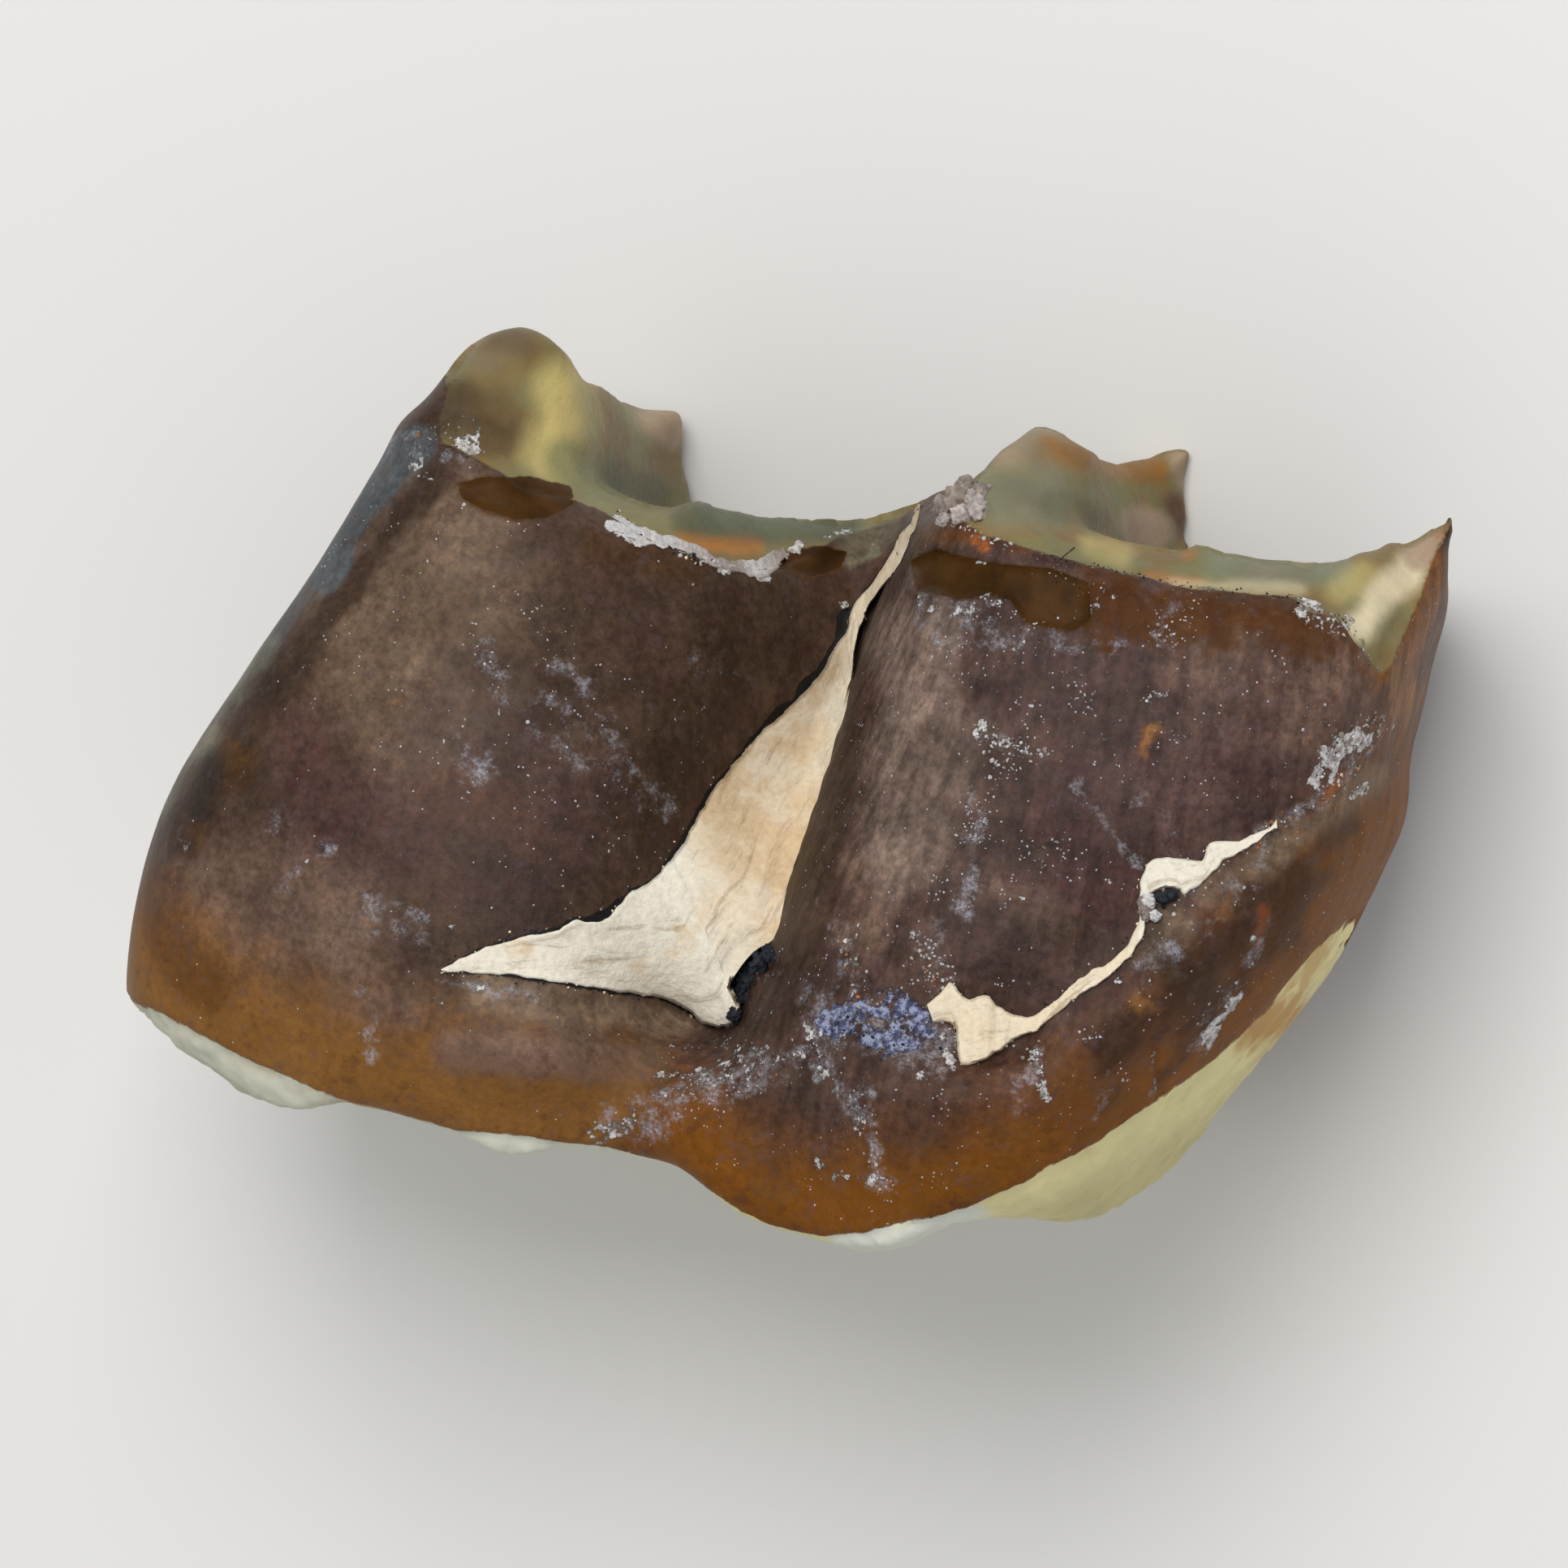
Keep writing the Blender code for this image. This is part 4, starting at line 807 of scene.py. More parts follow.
        (0.02, 0.22, 0.5, 0.3, 6.3, 7.24, 6.35, 6.57, 6.46, 6.33),
        (0, 0.15, 0.55, 0.3, 6.25, 5.59, 6.39, 5.56, 6.25, 5.18),
        (0.05, 0.3, 0.45, 0.3, 7.7, 5.65, 8.01, 5.52, 8.99, 5.47),
        (0, 0.12, 0.7, 0.2, 8.94, 6.55, 8.96, 6.42),
        (0, 0.25, 0.45, 0.3, 7.63, 3.32, 8.12, 3.36, 8.86, 3.87),
        (0, 0.18, 0.5, 0.3, 3.34, 4.31, 3.55, 4.29), (0.08, 0.2, 0.72, 0.3, 4.31, 10.14, 4.55, 9.99),
        (0.05, 0.16, 0.8, 0.3, 5.02, 10.44, 5.2, 10.61),
        (0, 0.2, 0.5, 0.3, 5.01, 10.91, 5.39, 10.73, 5.68, 10.66),
        (0.02, 0.16, 0.6, 0.3, 1.47, 3.06, 1.64, 3.01), (0.05, 0.1, 0.8, 0.1, 11.64, 9.4, 11.78, 9.39),
    )
    violets: tuple[Mark, ...] = marks(
        (0.2, 0.3, 0.78, 0.3, 12.89, 2.82, 13.67, 3.13, 14.19, 2.98, 13.7, 2.59),
        (0.05, 0.2, 0.5, 0.3, 3.9, 3.48, 4.23, 3.6),
    )
    blacks: tuple[Mark, ...] = marks(
        (0.12, 0.2, 0.16, 0.2, 11.76, 9.18, 11.94, 8.81, 11.82, 8.38, 11.49, 7.89),
        (0.08, 0.2, 0.12, 0.2, 11.16, 7.4, 10.87, 6.66, 10.2, 5.75, 10.04, 5.1),
        (0.05, 0.2, 0.1, 0.2, 9.04, 3.64, 8.66, 3.42),
        (0, 0.1, 0.1, 0.1, 8.44, 9.31, 8.92, 9.38, 9.4, 9.39),
    )
    specks: tuple[Mark, ...] = marks(
        (0.7, 1.2, 0.55, 0.12, 14.3, 9.3, 15, 6.5, 14.2, 4),
        (0.6, 1.4, 0.5, 0.12, 17.2, 10.2, 16.9, 8, 17.2, 6.4), (0.5, 0.7, 0.5, 0.12, 13.4, 3, 14.3, 0.6),
        (1.5, 1.5, 0.22, 0.12, 5, 8, 8, 5.5), (0.5, 0.5, 0.5, 0.12, 10.5, 1, 12.2, 1.9),
    )


def only(item: bpy.types.Object) -> None:
    """Makes one object the only selected one and the active one."""
    bpy.ops.object.select_all(action="DESELECT")
    item.select_set(True)
    bpy.context.view_layer.objects.active = item


def added(operator: Callable, name: str, **settings: object) -> bpy.types.Object:
    """A new object made by one of bpy's operators, with nothing else selected."""
    bpy.ops.object.select_all(action="DESELECT")
    operator(**settings)
    bpy.context.object.name = name
    return bpy.context.object


def joined(items: list[bpy.types.Object]) -> None:
    """Joins objects into the first one."""
    only(items[0])
    for item in items:
        item.select_set(True)
    bpy.ops.object.join()


def edit(item: bpy.types.Object, operator: Callable, **settings: object) -> None:
    """Runs one of bpy's mesh operators on all of an object's mesh."""
    only(item)
    bpy.ops.object.mode_set(mode="EDIT")
    bpy.ops.mesh.select_all(action="SELECT")
    operator(**settings)
    bpy.ops.object.mode_set(mode="OBJECT")


def apply_modifier(item: bpy.types.Object, kind: str, **settings: object) -> None:
    """Adds a modifier with the given settings and applies it."""
    only(item)
    modifier = item.modifiers.new(kind, kind)
    for name, value in settings.items():
        setattr(modifier, name, value)
    bpy.ops.object.modifier_apply(modifier=modifier.name)


def read_points(mesh: bpy.types.Mesh) -> np.ndarray:
    """A mesh's points as an n by 3 array."""
    flat = np.empty(len(mesh.vertices) * 3)
    mesh.vertices.foreach_get("co", flat)
    return flat.reshape(-1, 3)


def write_points(mesh: bpy.types.Mesh, points: np.ndarray) -> None:
    """Moves a mesh's points."""
    mesh.vertices.foreach_set("co", points.reshape(-1))
    mesh.update()


def read_normals(mesh: bpy.types.Mesh) -> np.ndarray:
    """A mesh's point normals as an n by 3 array."""
    flat = np.empty(len(mesh.vertices) * 3)
    mesh.vertex_normals.foreach_get("vector", flat)
    return flat.reshape(-1, 3)


def spread(mesh: bpy.types.Mesh, values: np.ndarray, passes: int) -> np.ndarray:
    """Evens out one value for each point along a mesh's edges.

    Args:
        mesh: The mesh.
        values: One value for each point.
        passes: Times that each point takes up its neighbours' mean.

    Returns:
        The evened values.
    """
    ends = np.empty(len(mesh.edges) * 2, dtype=np.int64)
    mesh.edges.foreach_get("vertices", ends)
    first, second = ends.reshape(-1, 2).T
    degree = np.bincount(ends, minlength=len(values)) + 1.0
    for _ in range(passes):
        total = values.copy()
        total += np.bincount(first, values[second], len(values))
        total += np.bincount(second, values[first], len(values))
        values = total / degree
    return values


def paint(mesh: bpy.types.Mesh, name: str, values: np.ndarray) -> None:
    """Stores a colour or a number for each point of a mesh.

    Args:
        mesh: The mesh.
        name: The attribute's name.
        values: n by 3 colours, or n numbers.
    """
    if values.ndim == 2:
        layer = mesh.color_attributes.new(name=name, type="FLOAT_COLOR", domain="POINT")
        filled = np.concatenate((values, np.ones((len(values), 1))), axis=1)
        layer.data.foreach_set("color", filled.reshape(-1))
    else:
        layer = mesh.attributes.new(name, "FLOAT", "POINT")
        layer.data.foreach_set("value", values.reshape(-1))


def hand_over(item: bpy.types.Object, replaced: str = "") -> None:
    """Args:
        item: The piece.
        replaced: The node that it stands for, where there is one.
    """
    if replaced:
        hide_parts(replaced)
    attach(item, "root")
    LOG.info("%s: %d faces", item.name, len(item.data.polygons))


Feed = bpy.types.NodeSocket | float | Colour | Tint


@dataclass
class Finish:
    """A procedural material, with short ways to add to it."""

    name: str
    material: bpy.types.Material = field(init=False)
    tree: bpy.types.NodeTree = field(init=False)
    surface: bpy.types.Node = field(init=False)
    place: bpy.types.NodeSocket = field(init=False)

    def __post_init__(self) -> None:
        """Makes the material with its Principled surface."""
        self.material = bpy.data.materials.new(self.name)
        self.material.use_nodes = True
        self.tree = self.material.node_tree
        self.surface = self.tree.nodes["Principled BSDF"]
        self.place = self.add("ShaderNodeTexCoord").outputs["Object"]

    def add(self, kind: str, feeds: dict | None = None, **settings: object) -> bpy.types.Node:
        """Adds a node.

        Args:
            kind: The node's type.
            feeds: What goes into its sockets, by name or number.
            settings: Its other settings.

        Returns:
            The node.
        """
        node = self.tree.nodes.new(kind)
        for name, value in settings.items():
            setattr(node, name, value)
        for key, value in (feeds or {}).items():
            self.feed(node.inputs[key], value)
        return node

    def feed(self, socket: bpy.types.NodeSocket, value: Feed) -> None:
        """Links a socket to another one, or sets its value."""
        value = value.value if isinstance(value, Tint) else value
        if isinstance(value, bpy.types.NodeSocket):
            self.tree.links.new(value, socket)
        elif isinstance(value, tuple) and len(value) == 3 and socket.type == "RGBA":
            socket.default_value = (*value, 1.0)
        else:
            socket.default_value = value

    def attribute(self, name: str) -> bpy.types.Node:
        """Reads what is painted on the piece."""
        return self.add("ShaderNodeAttribute", attribute_name=name)

    def stretched(self, scale: Colour, turn: Colour = (0.0, 0.0, 0.0)) -> bpy.types.NodeSocket:
        """The place on the piece, scaled and turned."""
        feeds = {"Vector": self.place, "Scale": scale, "Rotation": turn}
        return self.add("ShaderNodeMapping", feeds).outputs["Vector"]

    def noise(self, scale: float, detail: float, rough: float, place: Feed | None = None) -> Feed:
        """Noise with a mean of about a half."""
        feeds = {
            "Vector": place or self.place, "Scale": scale, "Detail": detail, "Roughness": rough,
        }
        return self.add("ShaderNodeTexNoise", feeds).outputs["Fac"]

    def maths(self, operation: str, first: Feed, second: Feed) -> Feed:
        """What one operation makes of two numbers."""
        return self.add("ShaderNodeMath", {0: first, 1: second}, operation=operation).outputs[0]

    def times(self, first: Feed, second: Feed) -> Feed:
        """The product of two numbers."""
        return self.maths("MULTIPLY", first, second)

    def plus(self, first: Feed, second: Feed) -> Feed:
        """The sum of two numbers."""
        return self.maths("ADD", first, second)

    def most(self, first: Feed, second: Feed) -> Feed:
        """The greater of two numbers."""
        return self.maths("MAXIMUM", first, second)

    def between(self, value: Feed, low: Feed, high: Feed, to_low: float = 0.0,
                to_high: float = 1.0) -> Feed:
        """Maps a number smoothly from one range to another."""
        feeds = {
            "Value": value, "From Min": low, "From Max": high, "To Min": to_low, "To Max": to_high,
        }
        node = self.add("ShaderNodeMapRange", feeds, interpolation_type="SMOOTHSTEP")
        return node.outputs["Result"]

    def mix(self, share: Feed, first: Feed, second: Feed) -> Feed:
        """Mixes two colours."""
        feeds = {0: share, 6: first, 7: second}
        return self.add("ShaderNodeMix", feeds, data_type="RGBA").outputs[2]

    def scaled(self, colour: Feed, factor: Feed) -> Feed:
        """Multiplies a colour by a number."""
        feeds = {0: colour, "Scale": factor}
        return self.add("ShaderNodeVectorMath", feeds, operation="SCALE").outputs[0]

    def dots(self, scale: float, size: float, share: Feed) -> Feed:
        """Uneven dots of many sizes.

        Args:
            scale: How closely the dots may stand.
            size: The largest dot's reach, in cells.
            share: The share of the cells that hold a dot.

        Returns:
            One where there is a dot.
        """
        warp = self.add("ShaderNodeTexNoise", {"Vector": self.place, "Scale": scale * 2.0})
        shift = {0: warp.outputs["Color"], 1: (0.5 / scale,) * 3, 2: self.place}
        place = self.add("ShaderNodeVectorMath", shift, operation="MULTIPLY_ADD").outputs[0]
        cells = self.add("ShaderNodeTexVoronoi", {"Vector": place, "Scale": scale})
        chances = self.add("ShaderNodeSeparateColor", {0: cells.outputs["Color"]}).outputs
        reach = self.between(chances[1], 0.0, 1.0, size * 0.35, size)
        near = self.maths("LESS_THAN", cells.outputs["Distance"], reach)
        return self.times(near, self.maths("LESS_THAN", chances[0], share))

    def within(self, distance: Feed, ripple: Feed, ragged: float, soft: float = 0.02) -> Feed:
        """A crisp, ragged area.

        Args:
            distance: Painted distance to the area's edge, below zero inside.
            ripple: Noise around zero.
            ragged: How far the ripple moves the edge.
            soft: Half the width of the edge.

        Returns:
            One inside the area.
        """
        return self.between(self.plus(distance, self.times(ripple, ragged)), soft, -soft)

    def grown(self, noise: Feed, weight: Feed, start: float, end: float) -> Feed:
        """Patches of noise that grow and close up as a painted weight rises to one."""
        return self.between(self.plus(noise, self.times(weight, 0.5)), start, end)

    def bump(self, height: Feed, reach: float, below: Feed | None = None) -> Feed:
        """Turns a height that reaches so many millimetres into a normal, on top of another one."""
        feeds = {"Height": height, "Distance": reach * MM, "Strength": 1.0}
        if below is not None:
            feeds["Normal"] = below
        return self.add("ShaderNodeBump", feeds).outputs["Normal"]

    def finish(self, **sockets: Feed) -> bpy.types.Material:
        """Feeds the surface's sockets, with spaces written as underscores.

        Args:
            sockets: What goes into each socket.

        Returns:
            The material.
        """
        for name, value in sockets.items():
            self.feed(self.surface.inputs[name.replace("_", " ")], value)
        return self.material


@dataclass(frozen=True)
class EnamelFinish:
    """Stained satin enamel with fine streaks, mottling, pale dust and white specks."""

    mottle: float = 900.0
    grain: float = 6500.0
    streak: float = 1500.0
    dust: float = 2400.0
    speck: float = 8500.0
    ragged: float = 4200.0
    crust: float = 5200.0
    streak_height: float = 0.03
    grain_height: float = 0.022
    bit_height: float = 0.018
    tints: dict[str, Feed] = field(default_factory=dict)
    paint: dict[str, Feed] = field(default_factory=dict)

    def build(self) -> bpy.types.Material:
        """Makes the material from what is painted on the crown."""
        fin = Finish("stained_enamel")
        self.read(fin)
        grain = fin.noise(self.grain, 5.0, 0.7)
        clouds = fin.noise(self.mottle, 5.0, 0.6)
        ripple = fin.maths("SUBTRACT", fin.noise(self.ragged, 6.0, 0.7), 0.5)
        bare = fin.within(self.paint["bare"], ripple, 0.14)
        loph = fin.within(self.paint["loph"], ripple, 0.16, 0.03)
        chip = fin.within(self.paint["chip"], ripple, 0.12)
        # Painted shadow: the near-black outline where the rock meets the crown.
        black = fin.within(self.paint["rock_gap"], ripple, 0.14)

        colour, relief, dot = self.enamel(fin, clouds, grain)
        soft = fin.between(clouds, 0.3, 0.7, 0.88, 1.12)
        colour = fin.mix(loph, colour, fin.scaled(self.tints["loph_tint"], soft))
        smooth = fin.scaled(Tint.CHIP_BROWN, fin.between(clouds, 0.3, 0.7, 0.4, 1.15))
        colour = fin.mix(chip, colour, smooth)
        fleck = fin.noise(self.crust, 7.0, 0.74)
        hue = fin.between(fin.noise(self.crust * 1.7, 3.0, 0.6), 0.4, 0.6)
        violet = fin.grown(fleck, self.paint["violet"], 0.79, 0.88)
        blue = fin.mix(hue, Tint.VIOLET_DEEP, Tint.VIOLET_PALE)
        colour = fin.mix(fin.times(violet, 0.85), colour, blue)
        crust = fin.grown(fleck, self.paint["crust"], 0.81, 0.88)
        white = fin.mix(hue, Tint.CRUST_GREY, Tint.CRUST_WHITE)
        colour = fin.mix(fin.times(crust, 0.92), colour, white)
        root_shade = fin.between(clouds, 0.3, 0.7, 0.93, 1.05)
        colour = fin.mix(bare, colour, fin.scaled(self.tints["root_tint"], root_shade))
        colour = fin.mix(black, colour, Tint.NEAR_BLACK)

        grown = fin.most(crust, violet)
        dull = fin.plus(fin.between(grain, 0.3, 0.7, 0.36, 0.5), fin.times(bare, 0.4))
        dull = fin.plus(dull, fin.times(grown, 0.35))
        relief = fin.times(relief, fin.maths("SUBTRACT", 1.0, bare))
        normal = fin.bump(relief, self.streak_height)
        rough = fin.times(grain, fin.between(fin.most(bare, chip), 0.0, 1.0, 1.0, 0.3))
        normal = fin.bump(rough, self.grain_height, normal)
        normal = fin.bump(fin.most(grown, dot), self.bit_height, normal)
        mirror = fin.between(fin.most(chip, self.paint["calm"]), 0.0, 1.0, 0.11, 0.05)
        return fin.finish(
            Base_Color=colour, Roughness=dull, Normal=normal, Specular_IOR_Level=mirror,
        )

    def read(self, fin: Finish) -> None:
        """Reads the colours and numbers that are painted on the crown."""
        for name in ("tint", "loph_tint", "root_tint"):
            self.tints[name] = fin.attribute(name).outputs["Color"]
        numbers = "dust specks streak loph chip bare rock_gap crust violet calm"
        for name in numbers.split():
            self.paint[name] = fin.attribute(name).outputs["Fac"]

    def enamel(self, fin: Finish, clouds: Feed, grain: Feed) -> tuple[Feed, Feed, Feed]:
        """The enamel's own look, with its streaks, dust and specks.

        Args:
            fin: The material.
            clouds: Coarse noise.
            grain: Fine noise.

        Returns:
            Its colour, the streaks' height and the specks.
        """
        streaked = self.paint["streak"]
        along = fin.stretched((1.0, 0.09, 1.0), (0.0, 0.0, -0.2))
        streaks = fin.noise(self.streak * 2.6, 4.0, 0.6, along)
        growth = fin.noise(self.streak * 1.3, 3.0, 0.55, fin.stretched((0.12, 1.0, 0.12)))
        shade = fin.between(clouds, 0.3, 0.72, 0.76, 1.26)
        shade = fin.times(shade, fin.between(grain, 0.28, 0.72, 0.68, 1.34))
        for noise, depth in ((streaks, 0.34), (growth, 0.15)):
            lines = fin.times(fin.between(noise, 0.3, 0.7, -depth, depth), streaked)
            shade = fin.times(shade, fin.plus(lines, 1.0))
        calmed = fin.between(self.paint["calm"], 0.0, 1.0, 1.0, 0.4)
        uneven = fin.times(fin.maths("SUBTRACT", shade, 1.0), calmed)
        colour = fin.scaled(self.tints["tint"], fin.plus(uneven, 1.0))
        hue = fin.noise(self.grain * 0.6, 3.0, 0.6)
        colour = fin.mix(fin.between(hue, 0.55, 0.7, 0.0, 0.3), colour, Tint.HUE_PURPLE)
        colour = fin.mix(fin.between(hue, 0.42, 0.3, 0.0, 0.3), colour, Tint.HUE_RED)
        tone = fin.noise(self.mottle * 1.7, 6.0, 0.7)
        colour = fin.mix(fin.between(tone, 0.53, 0.68, 0.0, 0.26), colour, Tint.TONE_TAN)
        colour = fin.mix(fin.between(tone, 0.46, 0.32, 0.0, 0.4), colour, Tint.TONE_WINE)

        dusty = fin.times(self.paint["dust"], 0.54)
        film = fin.grown(fin.noise(self.dust, 10.0, 0.74), dusty, 0.65, 0.88)
        powder = fin.between(fin.noise(self.dust * 6.0, 4.0, 0.7), 0.36, 0.62, 0.1, 0.78)
        colour = fin.mix(fin.times(film, powder), colour, Tint.DUST_FILM)
        clusters = fin.between(fin.noise(self.mottle * 1.2, 4.0, 0.65), 0.46, 0.66, 0.03, 1.0)
        specked = fin.times(self.paint["specks"], clusters)
        large = fin.dots(self.speck, 0.28, fin.times(specked, 0.35))
        small = fin.dots(self.speck * 2.1, 0.34, fin.times(specked, 0.9))
        dot = fin.most(large, small)
        colour = fin.mix(fin.times(dot, 0.8), colour, Tint.SPECK)
        return colour, fin.times(fin.plus(streaks, growth), streaked), dot


@dataclass(frozen=True)
class RockFinish:
    """Fine cream sediment with white and peach mottling and tan streaks."""

    patch: float = 1000.0
    grain: float = 9000.0
    patch_height: float = 0.05
    grain_height: float = 0.03
    streak_depth: float = 0.014

    def build(self) -> bpy.types.Material:
        """Makes the material from what is painted on the sediment."""
        fin = Finish("cream_sediment")
        tint = fin.attribute("tint").outputs["Color"]
        along = fin.attribute("along").outputs["Vector"]
        patches = fin.noise(self.patch, 7.0, 0.62)
        grain = fin.noise(self.grain, 5.0, 0.7)
        streaks = fin.noise(1.0, 9.0, 0.74, along)
        pale = fin.between(patches, 0.46, 0.62)
        colour = fin.mix(fin.times(pale, 0.35), tint, Tint.ROCK_WHITE)
        warm = fin.between(patches, 0.44, 0.3)
        colour = fin.mix(fin.times(warm, 0.75), colour, Tint.ROCK_PEACH)
        line = fin.between(streaks, 0.53, 0.7, 0.0, 0.62)
        colour = fin.mix(line, colour, Tint.ROCK_TAN)
        colour = fin.scaled(colour, fin.between(grain, 0.25, 0.7, 0.86, 1.06))
        normal = fin.bump(patches, self.patch_height)
        normal = fin.bump(grain, self.grain_height, normal)
        normal = fin.bump(fin.times(line, -1.0), self.streak_depth, normal)
        return fin.finish(
            Base_Color=colour, Roughness=0.92, Normal=normal, Specular_IOR_Level=0.3,
        )


@dataclass(frozen=True)
class GrainFinish:
    """Small mineral grains, each of its own colour."""

    cloud: float = 12000.0
    cloud_height: float = 0.01

    def build(self) -> bpy.types.Material:
        """Makes the material from each grain's painted colour."""
        fin = Finish("mineral_grains")
        tint = fin.attribute("tint").outputs["Color"]
        cloud = fin.noise(self.cloud, 3.0, 0.6)
        colour = fin.scaled(tint, fin.between(cloud, 0.3, 0.7, 0.8, 1.15))
        normal = fin.bump(cloud, self.cloud_height)
        return fin.finish(
            Base_Color=colour, Roughness=0.62, Normal=normal, Specular_IOR_Level=0.2,
        )


@dataclass(frozen=True)
class Pull:
    """A small pull on the crown, with place and shift on the sight plane."""

    place: Place
    shift: Place
    reach: Place

    def weight(self, places: np.ndarray) -> np.ndarray:
        """How strongly the pull acts at each place."""
        away = (places - np.array(self.place)) / np.array(self.reach)
        return np.exp(-(away**2).sum(axis=1))


@dataclass
class Crown:
    """The crown, remade finely from the solid and painted."""

    node: bpy.types.Object
    plug: bpy.types.Object
    voxel: float = 0.18
    first_smoothing: int = 3
    smoothing: int = 12
    smoothed_bend: Place = (0.05, 0.16)
    fine_smoothing: int = 3
    finest_sight: float = 0.15
    finest_facing: float = 0.05
    chip_depth: float = 0.06
    chip_edge: Place = (-0.09, 0.02)
    rim_step: float = 0.12
    rim_edge: Place = (-0.09, 0.03)
    rim_fade: Place = (-1.1, -0.1)
    dentine_step: float = 0.06
    dentine_lumps: float = 0.07
    dentine_edge: Place = (-0.1, 0.02)
    groove_step: float = 0.7
    groove_edge: Place = (0.1, 0.5)
    growth_lines: float = 0.014
    swell: float = 0.02
    crack_depth: float = 0.035
    crack_edge: Place = (0.02, 0.07)
    tongue_side: Place = (4.0, 8.5)
    groove_lean: float = 0.25
    plug_width: float = 1.75
    plug_sink: float = 0.22
    plug_skin: float = 0.3
    plug_depth: float = 1.6
    pulls: tuple[Pull, ...] = tuple(Pull(*pairs(*row)) for row in (
        (5.65, 12.41, 0.05, 0.2, 0.59, 0.39), (5.02, 12.01, -0.07, 0.08, 0.59, 0.53),
        (6.52, 12.21, 0.04, 0.08, 0.39, 0.33), (7.44, 11.74, -0.03, 0.17, 0.39, 0.26),
        (8.3, 11.64, 0.14, 0.31, 0.37, 0.37), (8.83, 10.7, 0.07, 0.02, 0.26, 0.39),
        (9.05, 10.24, 0.01, 0.26, 0.39, 0.24), (9.74, 10.25, -0.04, 0.22, 0.5, 0.24),
        (10.61, 10.42, -0.03, 0.16, 0.53, 0.24), (11.28, 10.63, -0.01, 0.08, 0.39, 0.24),
        (14.58, 12.82, -0.11, 0.15, 0.5, 0.33), (14.05, 12.3, -0.09, 0.05, 0.39, 0.33),
        (15.52, 12.63, -0.02, 0.12, 0.29, 0.21), (16.36, 13.01, 0.01, -0.05, 0.2, 0.2),
        (16.87, 13.05, 0.2, 0.22, 0.26, 0.29), (17.36, 11.9, -0.11, -0.02, 0.24, 0.29),
        (17.51, 11.5, -0.11, 0.14, 0.26, 0.21), (18.1, 11.5, -0.02, 0.13, 0.42, 0.21),
        (18.87, 11.52, -0.03, 0.17, 0.47, 0.22), (19.55, 11.61, -0.03, 0.18, 0.45, 0.22),
        (20.13, 11.84, -0.04, 0.25, 0.45, 0.26), (20.54, 12.13, -0.04, 0.2, 0.32, 0.26),
        (21.32, 12.92, 0.12, 0.1, 0.26, 0.26), (21.7, 10.51, -0.08, -0.02, 0.53, 0.79),
        (7.15, 11.98, 0, 0.12, 0.3, 0.2), (4.09, 10.56, -0.1, 0.06, 0.4, 0.5),
        (20.46, 12.38, -0.02, 0.12, 0.3, 0.2), (21.7, 9.14, -0.08, -0.02, 0.53, 0.79),
    ))
    item: bpy.types.Object = field(init=False)
    surface: Surface = field(init=False)

    def build(self) -> None:
        """Shapes the crown, paints it and hands it over."""
        self.item = self.welded_copy(self.node, "crown")
        self.fill_pocket()
        apply_modifier(self.item, "REMESH", mode="VOXEL", voxel_size=self.voxel * MM)
        apply_modifier(self.item, "SMOOTH", factor=0.5, iterations=self.first_smoothing)
        self.soften()
        self.refine()
        self.pull()
        self.carve()
        self.dress()
        self.surface = Surface(self.item)
        hand_over(self.item, self.node.name)

    def welded_copy(self, node: bpy.types.Object, name: str) -> bpy.types.Object:
        """A copy of a node's mesh with its loose triangles joined.

        Args:
            node: The node.
            name: The copy's name.

        Returns:
            The new object, at the origin.
        """
        item = bpy.data.objects.new(name, node.data.copy())
        bpy.context.scene.collection.objects.link(item)
        item.data.transform(node.matrix_world)
        item.data.materials.clear()
        edit(item, bpy.ops.mesh.remove_doubles, threshold=1e-6)
        return item

    def read(self, passes: int) -> tuple[np.ndarray, np.ndarray, np.ndarray]:
        """What the steps need to know of the crown as it is.

        Args:
            passes: Times that what the camera sees is evened out over the mesh.

        Returns:
            The points, their normals, and how far each one is in the camera's sight.
        """
        points, normals = read_points(self.item.data), read_normals(self.item.data)
        shown = Surface(self.item).shows(points, normals).astype(float)
        return points, normals, spread(self.item.data, shown, passes)

    def fill_pocket(self) -> None:
        """Fills the solid's pocket under the ridge, where the visual's seam is laid on."""
        plug = self.welded_copy(self.plug, "plug")
        points = read_points(plug.data)
        towards = np.array(TOOTH.towards_camera)
        depth = points @ towards
        middle = points.mean(axis=0)
        sideways = points - middle - np.outer((points - middle) @ towards, towards)
        deep = np.where(depth < depth.max() - self.plug_skin * MM, self.plug_depth, 1.0)
        inwards = (depth - middle @ towards - self.plug_sink * MM) * deep
        write_points(plug.data, middle + sideways * self.plug_width + np.outer(inwards, towards))
        joined([self.item, plug])

    def soften(self) -> None:
        """Evens out the solid's facets, and spares the places that bend sharply."""
        mesh = self.item.data
        normals = read_normals(mesh)
        blurred = np.stack([spread(mesh, normals[:, k], 4) for k in range(3)], axis=1)
        bend = 1.0 - np.linalg.norm(blurred, axis=1)
        give = spread(mesh, 1.0 - ramp(bend, *self.smoothed_bend), 2)[:, None]
        points = read_points(mesh)
        for _ in range(self.smoothing):
            mean = np.stack([spread(mesh, points[:, k], 1) for k in range(3)], axis=1)
            points = points + (mean - points) * give
        write_points(mesh, points)

